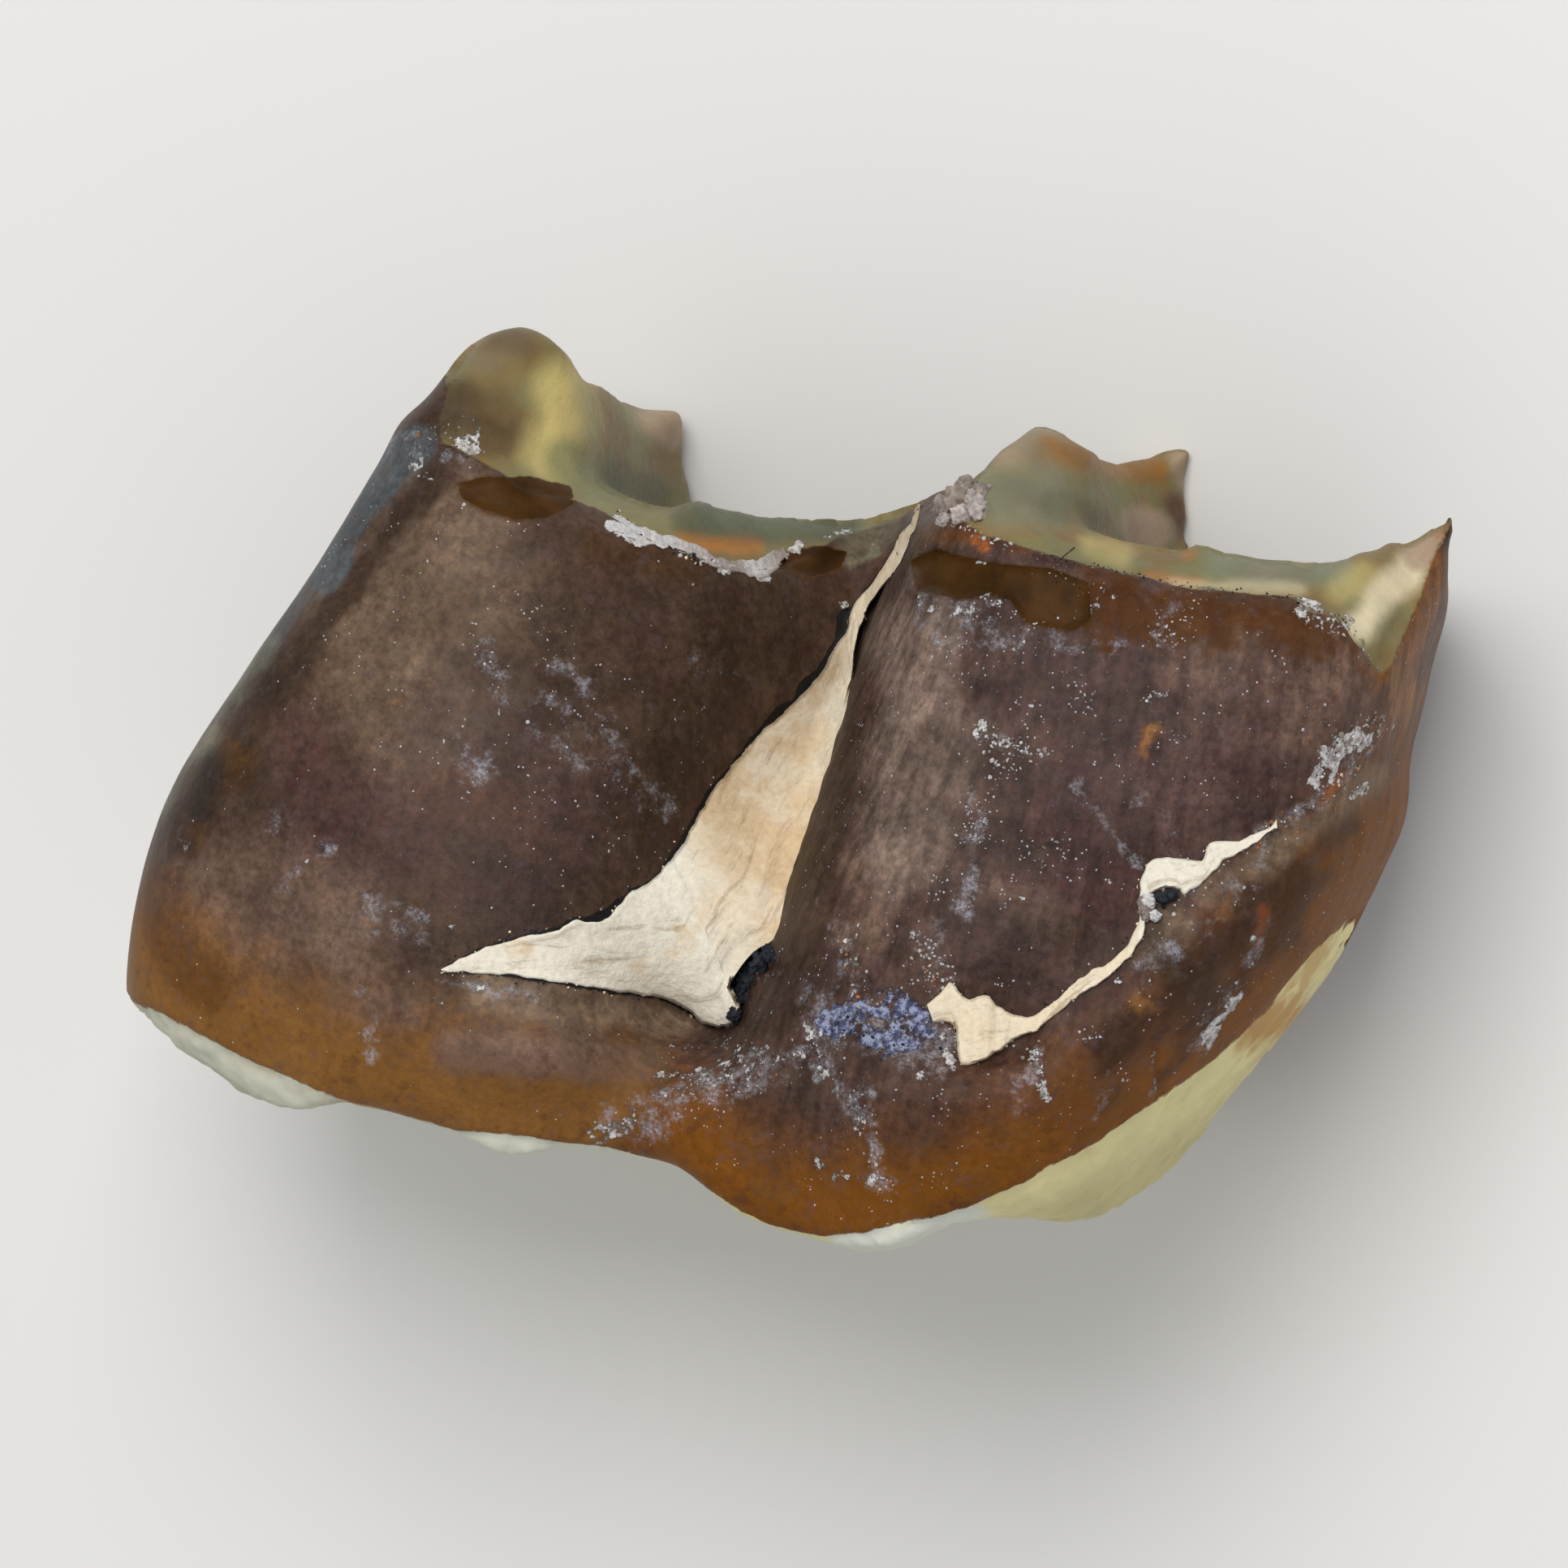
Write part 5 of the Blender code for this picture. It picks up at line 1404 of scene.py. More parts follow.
    def refine(self) -> None:
        """Cuts the faces on the cheek side in four and smooths them."""
        mesh = self.item.data
        towards = np.array(TOOTH.towards_camera)
        shown = self.read(2)[2] > self.finest_sight
        only(self.item)
        bpy.ops.object.mode_set(mode="EDIT")
        bpy.ops.mesh.select_all(action="DESELECT")
        bpy.ops.mesh.select_mode(type="FACE")
        bpy.ops.object.mode_set(mode="OBJECT")
        for face in mesh.polygons:
            facing = face.normal.dot(towards) > self.finest_facing
            face.select = facing and bool(shown[list(face.vertices)].all())
        bpy.ops.object.mode_set(mode="EDIT")
        bpy.ops.mesh.subdivide(number_cuts=1)
        bpy.ops.object.mode_set(mode="OBJECT")
        apply_modifier(self.item, "SMOOTH", factor=0.5, iterations=self.fine_smoothing)

    def pull(self) -> None:
        """Draws the worn crests out to their outlines."""
        mesh = self.item.data
        points = read_points(mesh)
        places = TOOTH.sight(points)
        for pull in self.pulls:
            weight = pull.weight(places) * MM
            points[:, 0] += weight * pull.shift[0]
            points[:, 1] += weight * pull.shift[1]
        write_points(mesh, points)

    def cervix(self, m: np.ndarray, l: np.ndarray) -> np.ndarray:
        """How high the enamel's lower edge stands round the tooth.

        Args:
            m: Forward places in millimetres.
            l: Tongueward places in millimetres.

        Returns:
            Heights in millimetres.
        """
        share = ramp(l, *self.tongue_side)
        cheek = read_curve(Outlines.cheek_foot, m)
        return cheek * (1.0 - share) + read_curve(Outlines.tongue_foot, m) * share

    def front_lobe(self, places: np.ndarray, start: float) -> np.ndarray:
        """One on the front lobe and nought on the rear one, with the change in the groove."""
        return ramp(places[:, 0] - self.groove_lean * places[:, 1], start, 10.4)

    def carve(self) -> None:
        """Sinks the chips and the dentine, and gives the enamel its fine relief."""
        points, normals, shown = self.read(3)
        shown = shown > 0.5
        m, l, h = TOOTH.tooth(points)
        spots = np.stack((m, l, h), axis=1)
        places = TOOTH.sight(points)
        sink = np.zeros(len(points))
        for chip in Marks.chips:
            inside = area_distance(places, chip.path)
            sink += self.chip_depth * (1.0 - ramp(inside, *self.chip_edge))
        fine = layered_noise(spots, 0.35, Seed.FINE)
        for outline in (Outlines.rear_loph, Outlines.front_loph):
            inside = area_distance(places, outline) + fine * 0.05
            edge = 1.0 - ramp(inside, *self.rim_edge)
            sink += self.rim_step * edge * ramp(inside, *self.rim_fade)
        under = area_distance(places, Outlines.fill)
        sink += self.groove_step * ramp(-under, *self.groove_edge)
        ragged = layered_noise(spots, 0.7, Seed.FOOT) * 0.05
        foot = self.foot_distance(places) + ragged
        sink = np.where(shown, sink, 0.0)
        above = np.where(shown, foot, h - self.cervix(m, l) + ragged)
        bare = 1.0 - ramp(above, *self.dentine_edge)
        sink += self.dentine_step * bare
        sink += bare * self.dentine_lumps * layered_noise(spots, 0.5, Seed.DENTINE)
        stretched = np.stack((m + h * 0.2, l, h * 0.1), axis=1)
        growth = self.growth_lines * self.front_lobe(places, 9.4)
        sink += growth * layered_noise(stretched, 0.45, Seed.GROWTH, 2) * (1.0 - bare)
        sink += self.swell * layered_noise(spots, 1.6, Seed.SWELL, 3) * (1.0 - bare)
        crack = 1.0 - ramp(path_distance(places, Outlines.crack), *self.crack_edge)
        sink += self.crack_depth * crack * shown
        write_points(self.item.data, points - normals * sink[:, None] * MM)

    def foot_distance(self, places: np.ndarray) -> np.ndarray:
        """Distance above the enamel's lower edge on the cheek side, below zero under it."""
        height = places[:, 1] - read_curve(Outlines.enamel_foot, places[:, 0])
        return np.sign(height) * path_distance(places, Outlines.enamel_foot)

    def dress(self) -> None:
        """Paints the crown and gives it its finish."""
        mesh = self.item.data
        points, normals, shown = self.read(4)
        spots = np.stack(TOOTH.tooth(points), axis=1)
        seen = self.cheek_coat(spots, TOOTH.sight(points))
        hidden = self.hidden_coat(spots, normals)
        for name, values in seen.items():
            share = shown[:, None] if values.ndim == 2 else shown
            blend = hidden[name] * (1.0 - share) + values * share
            paint(mesh, name, spread(mesh, blend, 10) if name in ("bare", "loph") else blend)
        mesh.materials.append(EnamelFinish().build())
        only(self.item)
        bpy.ops.object.shade_smooth()

    def cheek_coat(self, spots: np.ndarray, places: np.ndarray) -> dict[str, np.ndarray]:
        """Paint for the parts that the camera sees.

        Args:
            spots: n by 3 places on the tooth.
            places: n by 2 places on the sight plane.

        Returns:
            What is painted, by the attribute's name.
        """
        count = len(spots)
        ripple = layered_noise(spots, 0.9, Seed.RIPPLE)
        fine = layered_noise(spots, 0.35, Seed.FINE)
        rear, front = (area_distance(places, outline) + fine * 0.05
                       for outline in (Outlines.rear_loph, Outlines.front_loph))
        above = self.foot_distance(places) + layered_noise(spots, 0.7, Seed.FOOT) * 0.05
        on_front = self.front_lobe(places, 9.3)

        colours = mixed(plain(Tint.CHOCOLATE, count), Tint.PURPLE_BROWN, on_front * 0.5)
        colours = stained(colours, Marks.lobes, places, ripple * 2.0)
        rise = above - fine * 0.2 - ripple * 0.3 - 0.25 * (1.0 - on_front)
        band = 1.0 - ramp(rise, 0.4, 2.2)
        colours = mixed(colours, Tint.CARAMEL, band * (1.0 - on_front) * 0.95)
        colours = mixed(colours, Tint.ORANGE_BROWN, band * on_front * 0.92)
        colours = stained(colours, Marks.base, places, ripple)
        colours = stained(colours, Marks.amber + Marks.chips + Marks.rims, places, fine)
        base = mixed(plain(Tint.LOPH_OLIVE, count), Tint.LOPH_GREEN, ramp(ripple, -0.3, 0.5) * 0.7)
        base = stained(base, Marks.lophs, places, ripple * 0.8)
        root = mixed(plain(Tint.DENTINE, count), Tint.DENTINE_GREEN, (1.0 - on_front) * 0.9)
        root = mixed(root, Tint.CARAMEL, ramp(fine, 0.2, 0.9) * 0.12)
        # Painted highlight and shade: the dentine is lighter along the enamel's edge and darker towards
        # its foot.
        root *= (0.84 + 0.3 * ramp(above + ripple * 0.1, -1.1, -0.15))[:, None]
        root = stained(root, Marks.roots, places, fine * 2.0)

        loph = np.minimum(rear, front)
        chip = np.min([area_distance(places, mark.path) for mark in Marks.chips], axis=0)
        by_fill = area_distance(places, Outlines.fill) - 0.015
        # Painted shadow: a near-black line round the groove fill and the ridge seam, where the rock
        # meets the crown and tucks under the lip; the black marks widen it.
        gap_shadow = np.minimum(by_fill, area_distance(places, Outlines.seam))
        gap_shadow -= np.sum([mark.weight(places, ripple) for mark in Marks.blacks], axis=0)
        amber = Marks.amber[0].weight(places, fine)
        dust = 0.06 + 0.1 * on_front + 0.1 * ramp(ripple, 0.0, 1.0) - 0.15 * band - 0.2 * amber
        dust = strongest(dust, Marks.dust, places, ripple)
        specks = strongest(0.025 + 0.115 * on_front, Marks.specks, places, ripple * 3.0)
        nothing = np.zeros(count)
        open_enamel = ramp(chip, -0.05, 0.05) * ramp(loph, -0.05, 0.05)
        return {
            "tint": colours, "loph_tint": base, "root_tint": root,
            "dust": dust * open_enamel, "specks": specks * open_enamel,
            "streak": (0.35 + 0.65 * on_front) * open_enamel * (1.0 - 0.7 * band),
            "loph": edge_paint(loph), "chip": edge_paint(chip),
            "bare": edge_paint(above), "rock_gap": edge_paint(gap_shadow),
            "crust": strongest(nothing, Marks.crusts, places, fine),
            "violet": strongest(nothing, Marks.violets, places, fine),
            "calm": np.maximum(band, amber),
        }

    def hidden_coat(self, spots: np.ndarray, normals: np.ndarray) -> dict[str, np.ndarray]:
        """Paint for the parts that the camera doesn't see.

        Args:
            spots: n by 3 places on the tooth.
            normals: n by 3 normals in the model.

        Returns:
            What is painted, by the attribute's name.
        """
        m, l, h = spots.T
        count = len(spots)
        ripple = layered_noise(spots, 1.4, Seed.HIDDEN_RIPPLE)
        fine = layered_noise(spots, 0.4, Seed.HIDDEN_FINE)
        above = h - self.cervix(m, l) + ripple * 0.1
        colours = mixed(plain(Tint.CHOCOLATE, count), Tint.DEEP_BROWN, ramp(ripple, 0.0, 0.8) * 0.6)
        colours = mixed(colours, Tint.TAUPE, ramp(-ripple, 0.2, 0.9) * 0.35)
        band = 1.0 - ramp(above - fine * 0.25 - ripple * 0.3, 0.5, 2.2)
        colours = mixed(colours, Tint.CARAMEL, band * (m < 9.0) * 0.85)
        colours = mixed(colours, Tint.ORANGE_BROWN, band * (m >= 9.0) * 0.85)
        spire = ramp(m, 17.5, 18.5) * ramp(h, 9.6, 10.4)
        colours = mixed(colours, Tint.SPIRE_PINK, spire * 0.8)
        worn = spread(self.item.data, ramp(normals[:, 1], 0.35, 0.8) * ramp(h, 7.9, 9.2), 24)
        loph = mixed(plain(Tint.LOPH_OLIVE, count), Tint.LOPH_YELLOW, ramp(ripple, 0.0, 0.7) * 0.7)
        loph = mixed(loph, Tint.LOPH_GREEN, ramp(-ripple, 0.0, 0.7) * 0.7)
        loph = mixed(loph, Tint.DEEP_BROWN, ramp(fine, 0.4, 0.9) * 0.5)
        grey = 0.25 + ramp(ripple, 0.0, 0.6) * 0.5
        root = mixed(plain(Tint.DENTINE, count), Tint.DENTINE_GREY, grey)
        root = mixed(root, Tint.CARAMEL, ramp(fine, 0.2, 0.8) * 0.35)
        nothing = np.zeros(count)
        return {
            "tint": colours, "loph_tint": loph, "root_tint": root,
            "dust": 0.1 + 0.25 * ramp(ripple, 0.3, 1.0), "specks": nothing + 0.12,
            "streak": nothing + 0.5, "loph": (0.5 - worn) * 0.5, "chip": nothing + PAINT_REACH,
            "bare": edge_paint(above), "rock_gap": nothing + PAINT_REACH,
            "crust": 0.3 * ramp(ripple, 0.5, 1.1), "violet": nothing, "calm": band,
        }


def around(grid: np.ndarray) -> np.ndarray:
    """The sum of each cell's four neighbours, with the rim repeated outside the grid."""
    wide = np.pad(grid, 1, mode="edge")
    return wide[:-2, 1:-1] + wide[2:, 1:-1] + wide[1:-1, :-2] + wide[1:-1, 2:]


def eased(count: int) -> np.ndarray:
    """A number of shares from nought to one, closer together at both ends."""
    return 0.5 - 0.5 * np.cos(np.linspace(0.0, math.pi, count))


@dataclass
class TautSheet:
    """A smooth sheet stretched over an outline, held by the surface around it."""

    crown: Surface
    outline: Path
    cell: float = 0.09
    margin: int = 6
    passes: int = 1500
    held_from: float = 0.08
    held_to: float = 0.3
    free: Path = ((11.15, 2.5), (11.2, 3.2), (11.45, 3.8))
    free_reach: float = 0.36

    def depths(self, places: np.ndarray) -> np.ndarray:
        """Depths of the sheet.

        Args:
            places: n by 2 places on the sight plane.

        Returns:
            One depth in millimetres for each place.
        """
        corners = np.array(self.outline)
        low = corners.min(axis=0) - self.margin * self.cell
        count = np.ceil((corners.max(axis=0) - low) / self.cell).astype(int) + self.margin
        axes = [np.arange(number) for number in count]
        grid = low + np.stack(np.meshgrid(*axes, indexing="ij"), axis=-1) * self.cell
        flat = grid.reshape(-1, 2)
        away = area_distance(flat, self.outline)
        ring = (away > self.held_from) & (away < self.held_to)
        ring &= path_distance(flat, self.free) > self.free_reach
        depth = np.full(len(flat), np.nan)
        depth[ring] = self.crown.depths(flat[ring])
        depth = depth.reshape(count)
        held = ~np.isnan(depth)
        depth = Sediment.settled(depth)
        for _ in range(self.passes):
            depth = np.where(held, depth, around(depth) / 4.0)
        spot = np.clip((places - low) / self.cell, 0.0, np.array(count) - 1.001)
        cell = spot.astype(int)
        (a, b), (x, y) = cell.T, (spot - cell).T
        near = depth[a, b] * (1.0 - y) + depth[a, b + 1] * y
        far = depth[a + 1, b] * (1.0 - y) + depth[a + 1, b + 1] * y
        return near * (1.0 - x) + far * x


@dataclass
class Sediment:
    """Rock that fills a strip between two edges on the sight plane."""

    name: str
    slot: str
    crown: Surface
    low: Path
    high: Path
    finish: bpy.types.Material
    replaced: str = ""
    lip: Path = ((90.0, 90.0),)
    steps: int = 200
    rows: int = 44
    film: float = 0.05
    least: float = 0.03
    under_lip: float = 0.12
    sheet: TautSheet | None = None
    evenness: int = 60
    waver: float = 0.03
    warm_side: float = 0.0
    bank_reach: float = 0.2
    edge: float = 0.16
    ragged: float = 0.08
    lump: float = 0.03
    tuck: float = 0.25
    thickest: float = 2.2
    tints: tuple[tuple[float, Tint], ...] = ((0.0, Tint.ROCK_CREAM),)
    thinnest: float = 0.2
    sunk: float = 0.06
    fines: float = 0.45
    lip_edge: Place = (0.12, 0.34)
    lip_drop: float = 9.0
    steady: float = 0.8
    steady_edge: Place = (0.2, 0.4)
    bank_window: int = 25
    warm_shade: float = 0.72
    warm_rows: Place = (0.25, 0.75)
    warm_start: Place = (0.36, 0.5)
    warm_end: Place = (0.85, 0.7)
    flow_along: float = 0.55
    flow_across: float = 3.2
    item: bpy.types.Object = field(init=False)

    def build(self) -> None:
        """Makes the piece, paints it and hands it over."""
        self.item = self.slab()
        places, sides = self.strip()
        front, back = self.depths(places, sides)
        mesh = self.item.data
        points = read_points(mesh)
        s = np.rint((points[:, 0] + 1.0) / 2.0 * self.steps).astype(int)
        t = np.rint((points[:, 1] + 1.0) / 2.0 * self.rows).astype(int)
        on_front = np.abs(points[:, 2]) > 0.5
        depth = np.where(on_front, front[s, t], back[s, t])
        towards = np.array(TOOTH.towards_camera)
        base = np.stack(
            (places[s, t, 0] - TOOTH.centre_m, places[s, t, 1] - TOOTH.centre_h,
             np.full(len(s), TOOTH.rest_l)), axis=1,
        )
        write_points(mesh, (base + towards * depth[:, None]) * MM)
        edit(self.item, bpy.ops.mesh.normals_make_consistent, inside=False)
        bpy.ops.object.shade_smooth_by_angle(angle=math.radians(60.0))
        self.dress(s, t, places)
        hand_over(self.item, self.replaced)

    def slab(self) -> bpy.types.Object:
        """A flat closed slab whose two sides have a grid of faces."""
        item = added(
            bpy.ops.mesh.primitive_grid_add, self.name, size=2.0,
            x_subdivisions=self.steps, y_subdivisions=self.rows,
        )
        apply_modifier(item, "SOLIDIFY", thickness=1.0, offset=1.0)
        return item

    def edges(self) -> tuple[np.ndarray, np.ndarray]:
        """The strip's two edges as rows of paired places, made a little uneven."""
        made = []
        for number, path in enumerate((self.low, self.high)):
            line = even_path(rounded(path), self.steps + 1)
            by_lip = 1.0 - ramp(path_distance(line, self.lip), *self.steady_edge)
            free = 1.0 - self.steady * by_lip
            for k in range(2):
                seed = Seed.ROCK_EDGE + 7 * number + 3 * k
                line[:, k] += layered_noise(line, 0.3, seed) * self.waver * free
            made.append(line)
        return made[0], made[1]

    def strip(self) -> tuple[np.ndarray, np.ndarray]:
        """Places on the sight plane for the grid, with finer rows at both edges.

        Returns:
            The places, steps by rows by 2, and each one's distance to the strip's edges.
        """
        low, high = self.edges()
        share = eased(self.rows + 1)[None, :, None]
        places = low[:, None] * (1.0 - share) + high[:, None] * share
        flat = places.reshape(-1, 2)
        sides = np.minimum(path_distance(flat, low[::3]), path_distance(flat, high[::3]))
        return places, sides.reshape(places.shape[:2])

    def depths(self, places: np.ndarray, sides: np.ndarray) -> tuple[np.ndarray, np.ndarray]:
        """How far in front of the sight plane the piece's two sides lie.

        Args:
            places: The grid's places on the sight plane.
            sides: Each one's distance to the strip's edges.

        Returns:
            The front's and the back's depths in millimetres.
        """
        shape = places.shape[:2]
        flat = places.reshape(-1, 2)
        ground = self.settled(self.crown.depths(flat).reshape(shape))
        share = eased(shape[1])[None, :]
        low = self.bank(places[:, 0], places[:, -1])
        high = self.bank(places[:, -1], places[:, 0])
        away = path_distance(flat, self.lip).reshape(shape)
        by_lip = 1.0 - ramp(away, *self.lip_edge)
        level = low[:, None] * (1.0 - share) + high[:, None] * share
        if self.sheet is not None:
            level = self.sheet.depths(flat).reshape(shape)
        level = self.evened(level + self.film, self.evenness) - self.under_lip * by_lip
        floor = self.evened(ground, 2) + self.least - by_lip * self.lip_drop
        lumps = layered_noise(flat, 0.9, Seed.ROCK_LUMPS).reshape(shape) * self.lump
        fines = layered_noise(flat, 0.22, Seed.ROCK_FINES).reshape(shape) * self.lump * self.fines
        front = self.evened(np.maximum(level, floor), self.evenness) + lumps + fines
        front = np.maximum(front, floor)
        uneven = layered_noise(flat, 0.35, Seed.ROCK_RIM).reshape(shape) * self.ragged
        uneven = uneven * np.minimum(1.0, sides.max(axis=1, keepdims=True) * 1.5)
        slope = np.minimum(self.edge, sides.max(axis=1, keepdims=True) * 0.25)
        share = ramp((sides + uneven * (1.0 - by_lip)) / slope, 0.0, 1.0)
        share = np.maximum(share, by_lip * ramp(sides, -0.01, 0.02))
        front = front * share + (np.minimum(front, ground) - self.sunk) * (1.0 - share)
        back = np.minimum(ground - self.tuck, front - self.thinnest)
        back = np.maximum(back, front - self.thickest)
        return front, back

    def bank(self, line: np.ndarray, other: np.ndarray) -> np.ndarray:
        """Depth of the crown just outside one edge, evened along it.

        Args:
            line: The edge's places.
            other: The places of the edge on the far side.

        Returns:
            One depth in millimetres for each step.
        """
        away = line - other
        length = np.linalg.norm(away, axis=1, keepdims=True)
        spots = line + away / np.maximum(length, 0.05) * self.bank_reach
        depths = self.crown.depths(spots)
        known = np.nonzero(~np.isnan(depths))[0]
        depths = np.interp(np.arange(len(depths)), known, depths[known])
        wide = np.pad(depths, self.bank_window // 2, mode="edge")
        return np.convolve(wide, np.full(self.bank_window, 1.0 / self.bank_window), mode="valid")

    @staticmethod
    def settled(depths: np.ndarray) -> np.ndarray:
        """Fills in the places where no surface was met from their neighbours."""
        for _ in range(200):
            missing = np.isnan(depths)
            if not missing.any():
                break
            beside = np.stack([np.roll(depths, step, (0, 1)) for step in NEIGHBOURS])
            known = ~np.isnan(beside)
            total = np.where(known, beside, 0.0).sum(axis=0)
            count = known.sum(axis=0)
            fill = missing & (count > 0)
            depths = np.where(fill, total / np.maximum(count, 1), depths)
        return depths

    @staticmethod
    def evened(depths: np.ndarray, passes: int) -> np.ndarray:
        """Smooths a grid of depths."""
        for _ in range(passes):
            depths = depths * 0.5 + around(depths) * 0.125
        return depths

    def dress(self, s: np.ndarray, t: np.ndarray, places: np.ndarray) -> None:
        """Paints the piece along its length.

        Args:
            s: Each point's step.
            t: Each point's row.
            places: The grid's places on the sight plane.
        """
        mesh = self.item.data
        spots = places[s, t]
        along = s / self.steps + layered_noise(spots, 0.6, Seed.ROCK_TINT) * 0.03
        stops = [stop for stop, _ in self.tints]
        colours = np.stack(
            [np.interp(along, stops, [tint.value[k] for _, tint in self.tints]) for k in range(3)],
            axis=1,
        )
        left = ramp(t / self.rows, *self.warm_rows)
        left *= ramp(along, *self.warm_start)
        left *= ramp(along, *self.warm_end)
        warm = np.array(Tint.ROCK_PEACH.value) * self.warm_shade
        colours += (warm - colours) * (left * self.warm_side)[:, None]
        paint(mesh, "tint", colours)
        strides = np.linalg.norm(np.diff(places[:, self.rows // 2], axis=0), axis=1)
        walked = np.concatenate(((0.0,), np.cumsum(strides)))
        width = np.linalg.norm(places[:, 0] - places[:, -1], axis=1)
        across = (0.5 - 0.5 * np.cos(t / self.rows * math.pi) - 0.5) * width[s]
        layer = mesh.attributes.new("along", "FLOAT_VECTOR", "POINT")
        flow = (walked[s] * self.flow_along, across * self.flow_across, np.zeros(len(s)))
        layer.data.foreach_set("vector", np.stack(flow, axis=1).reshape(-1))
        mesh.materials.append(self.finish)


@dataclass(frozen=True)
class GrainRun:
    """Grains strewn along a path on the sight plane."""

    path: Path
    width: float
    count: int
    size: float
    tints: tuple[Tint, ...]
    spacing: float = 0.0


@dataclass
class MineralGrains:
    """Tiny crystals and grains that sit on the crown, as one piece."""

    name: str
    crown: Surface
    runs: tuple[GrainRun, ...]
    seed: int = 5
    steps: int = 200
    sizes: Place = (0.3, 0.9)
    stretches: Place = (0.45, 1.3)
    bumps: Place = (0.75, 1.25)
    shades: Place = (0.6, 1.15)
    rise: float = 0.25

    def build(self) -> None:
        """Makes one grain, strews its copies and hands the piece over."""
        item = added(bpy.ops.mesh.primitive_ico_sphere_add, self.name, subdivisions=1)
        shape = read_points(item.data)
        faces = np.array([tuple(face.vertices) for face in item.data.polygons])
        random = np.random.default_rng(self.seed)
        corners, loops, tints = [], [], []
        for run in self.runs:
            for m, h in self.scatter(run, random):
                if self.crown.near_hit(m, h) is None:
                    continue
                point, normal = self.crown.hit(m, h)
                size = run.size * random.uniform(*self.sizes)
                angle = random.uniform(0.0, math.tau)
                turn = Matrix.Rotation(angle, 3, Vector(random.normal(size=3)))
                grain = shape * random.uniform(*self.stretches, 3) * size
                grain = grain * random.uniform(*self.bumps, shape.shape)
                grain = grain @ np.array(turn).T
                centre = np.array(point) / MM + np.array(normal) * size * self.rise
                loops.append(faces + len(corners) * len(shape))
                corners.append((grain + centre) * MM)
                tint = np.array(run.tints[random.integers(len(run.tints))].value)
                tints.append(np.tile(tint * random.uniform(*self.shades), (len(shape), 1)))
        mesh = bpy.data.meshes.new(self.name)
        mesh.from_pydata(np.concatenate(corners).tolist(), [], np.concatenate(loops).tolist())
        spare = item.data
        item.data = mesh
        bpy.data.meshes.remove(spare)
        paint(mesh, "tint", np.concatenate(tints))
        mesh.materials.append(GrainFinish().build())
        hand_over(item)

    def scatter(self, run: GrainRun, random: np.random.Generator) -> np.ndarray:
        """Uneven places along a run's path.

        Args:
            run: The run of grains.
            random: The source of chance.

        Returns:
            Places on the sight plane.
        """
        last = self.steps - 1
        if len(run.path) > 1:
            line = even_path(run.path, self.steps)
        else:
            line = np.tile(run.path, (self.steps, 1))
        if run.spacing:
            picks = np.linspace(0, last, run.count) + random.normal(0.0, run.spacing, run.count)
        else:
            picks = random.uniform(0, last, run.count)
        spots = line[np.clip(picks.astype(int), 0, last)]
        return spots + random.normal(0.0, run.width, (run.count, 2))


WHITES = (Tint.CRYSTAL_WHITE, Tint.CRYSTAL_WHITE, Tint.CRYSTAL_GREY)
MIXED_GRAINS = (Tint.CRYSTAL_WHITE, Tint.CRYSTAL_GREY, Tint.CRYSTAL_RUST, Tint.CRYSTAL_GREEN)
DARK_AND_WHITE = (Tint.MINERAL_BLACK, Tint.CRYSTAL_WHITE, Tint.MINERAL_BLACK)
DARK_RIM = (Tint.MINERAL_BLACK, Tint.MINERAL_BLACK, Tint.CRYSTAL_GREY)
MIXED_RIM = (Tint.CRYSTAL_GREY, Tint.CRYSTAL_WHITE, Tint.CRYSTAL_GREY, Tint.MINERAL_BLACK)

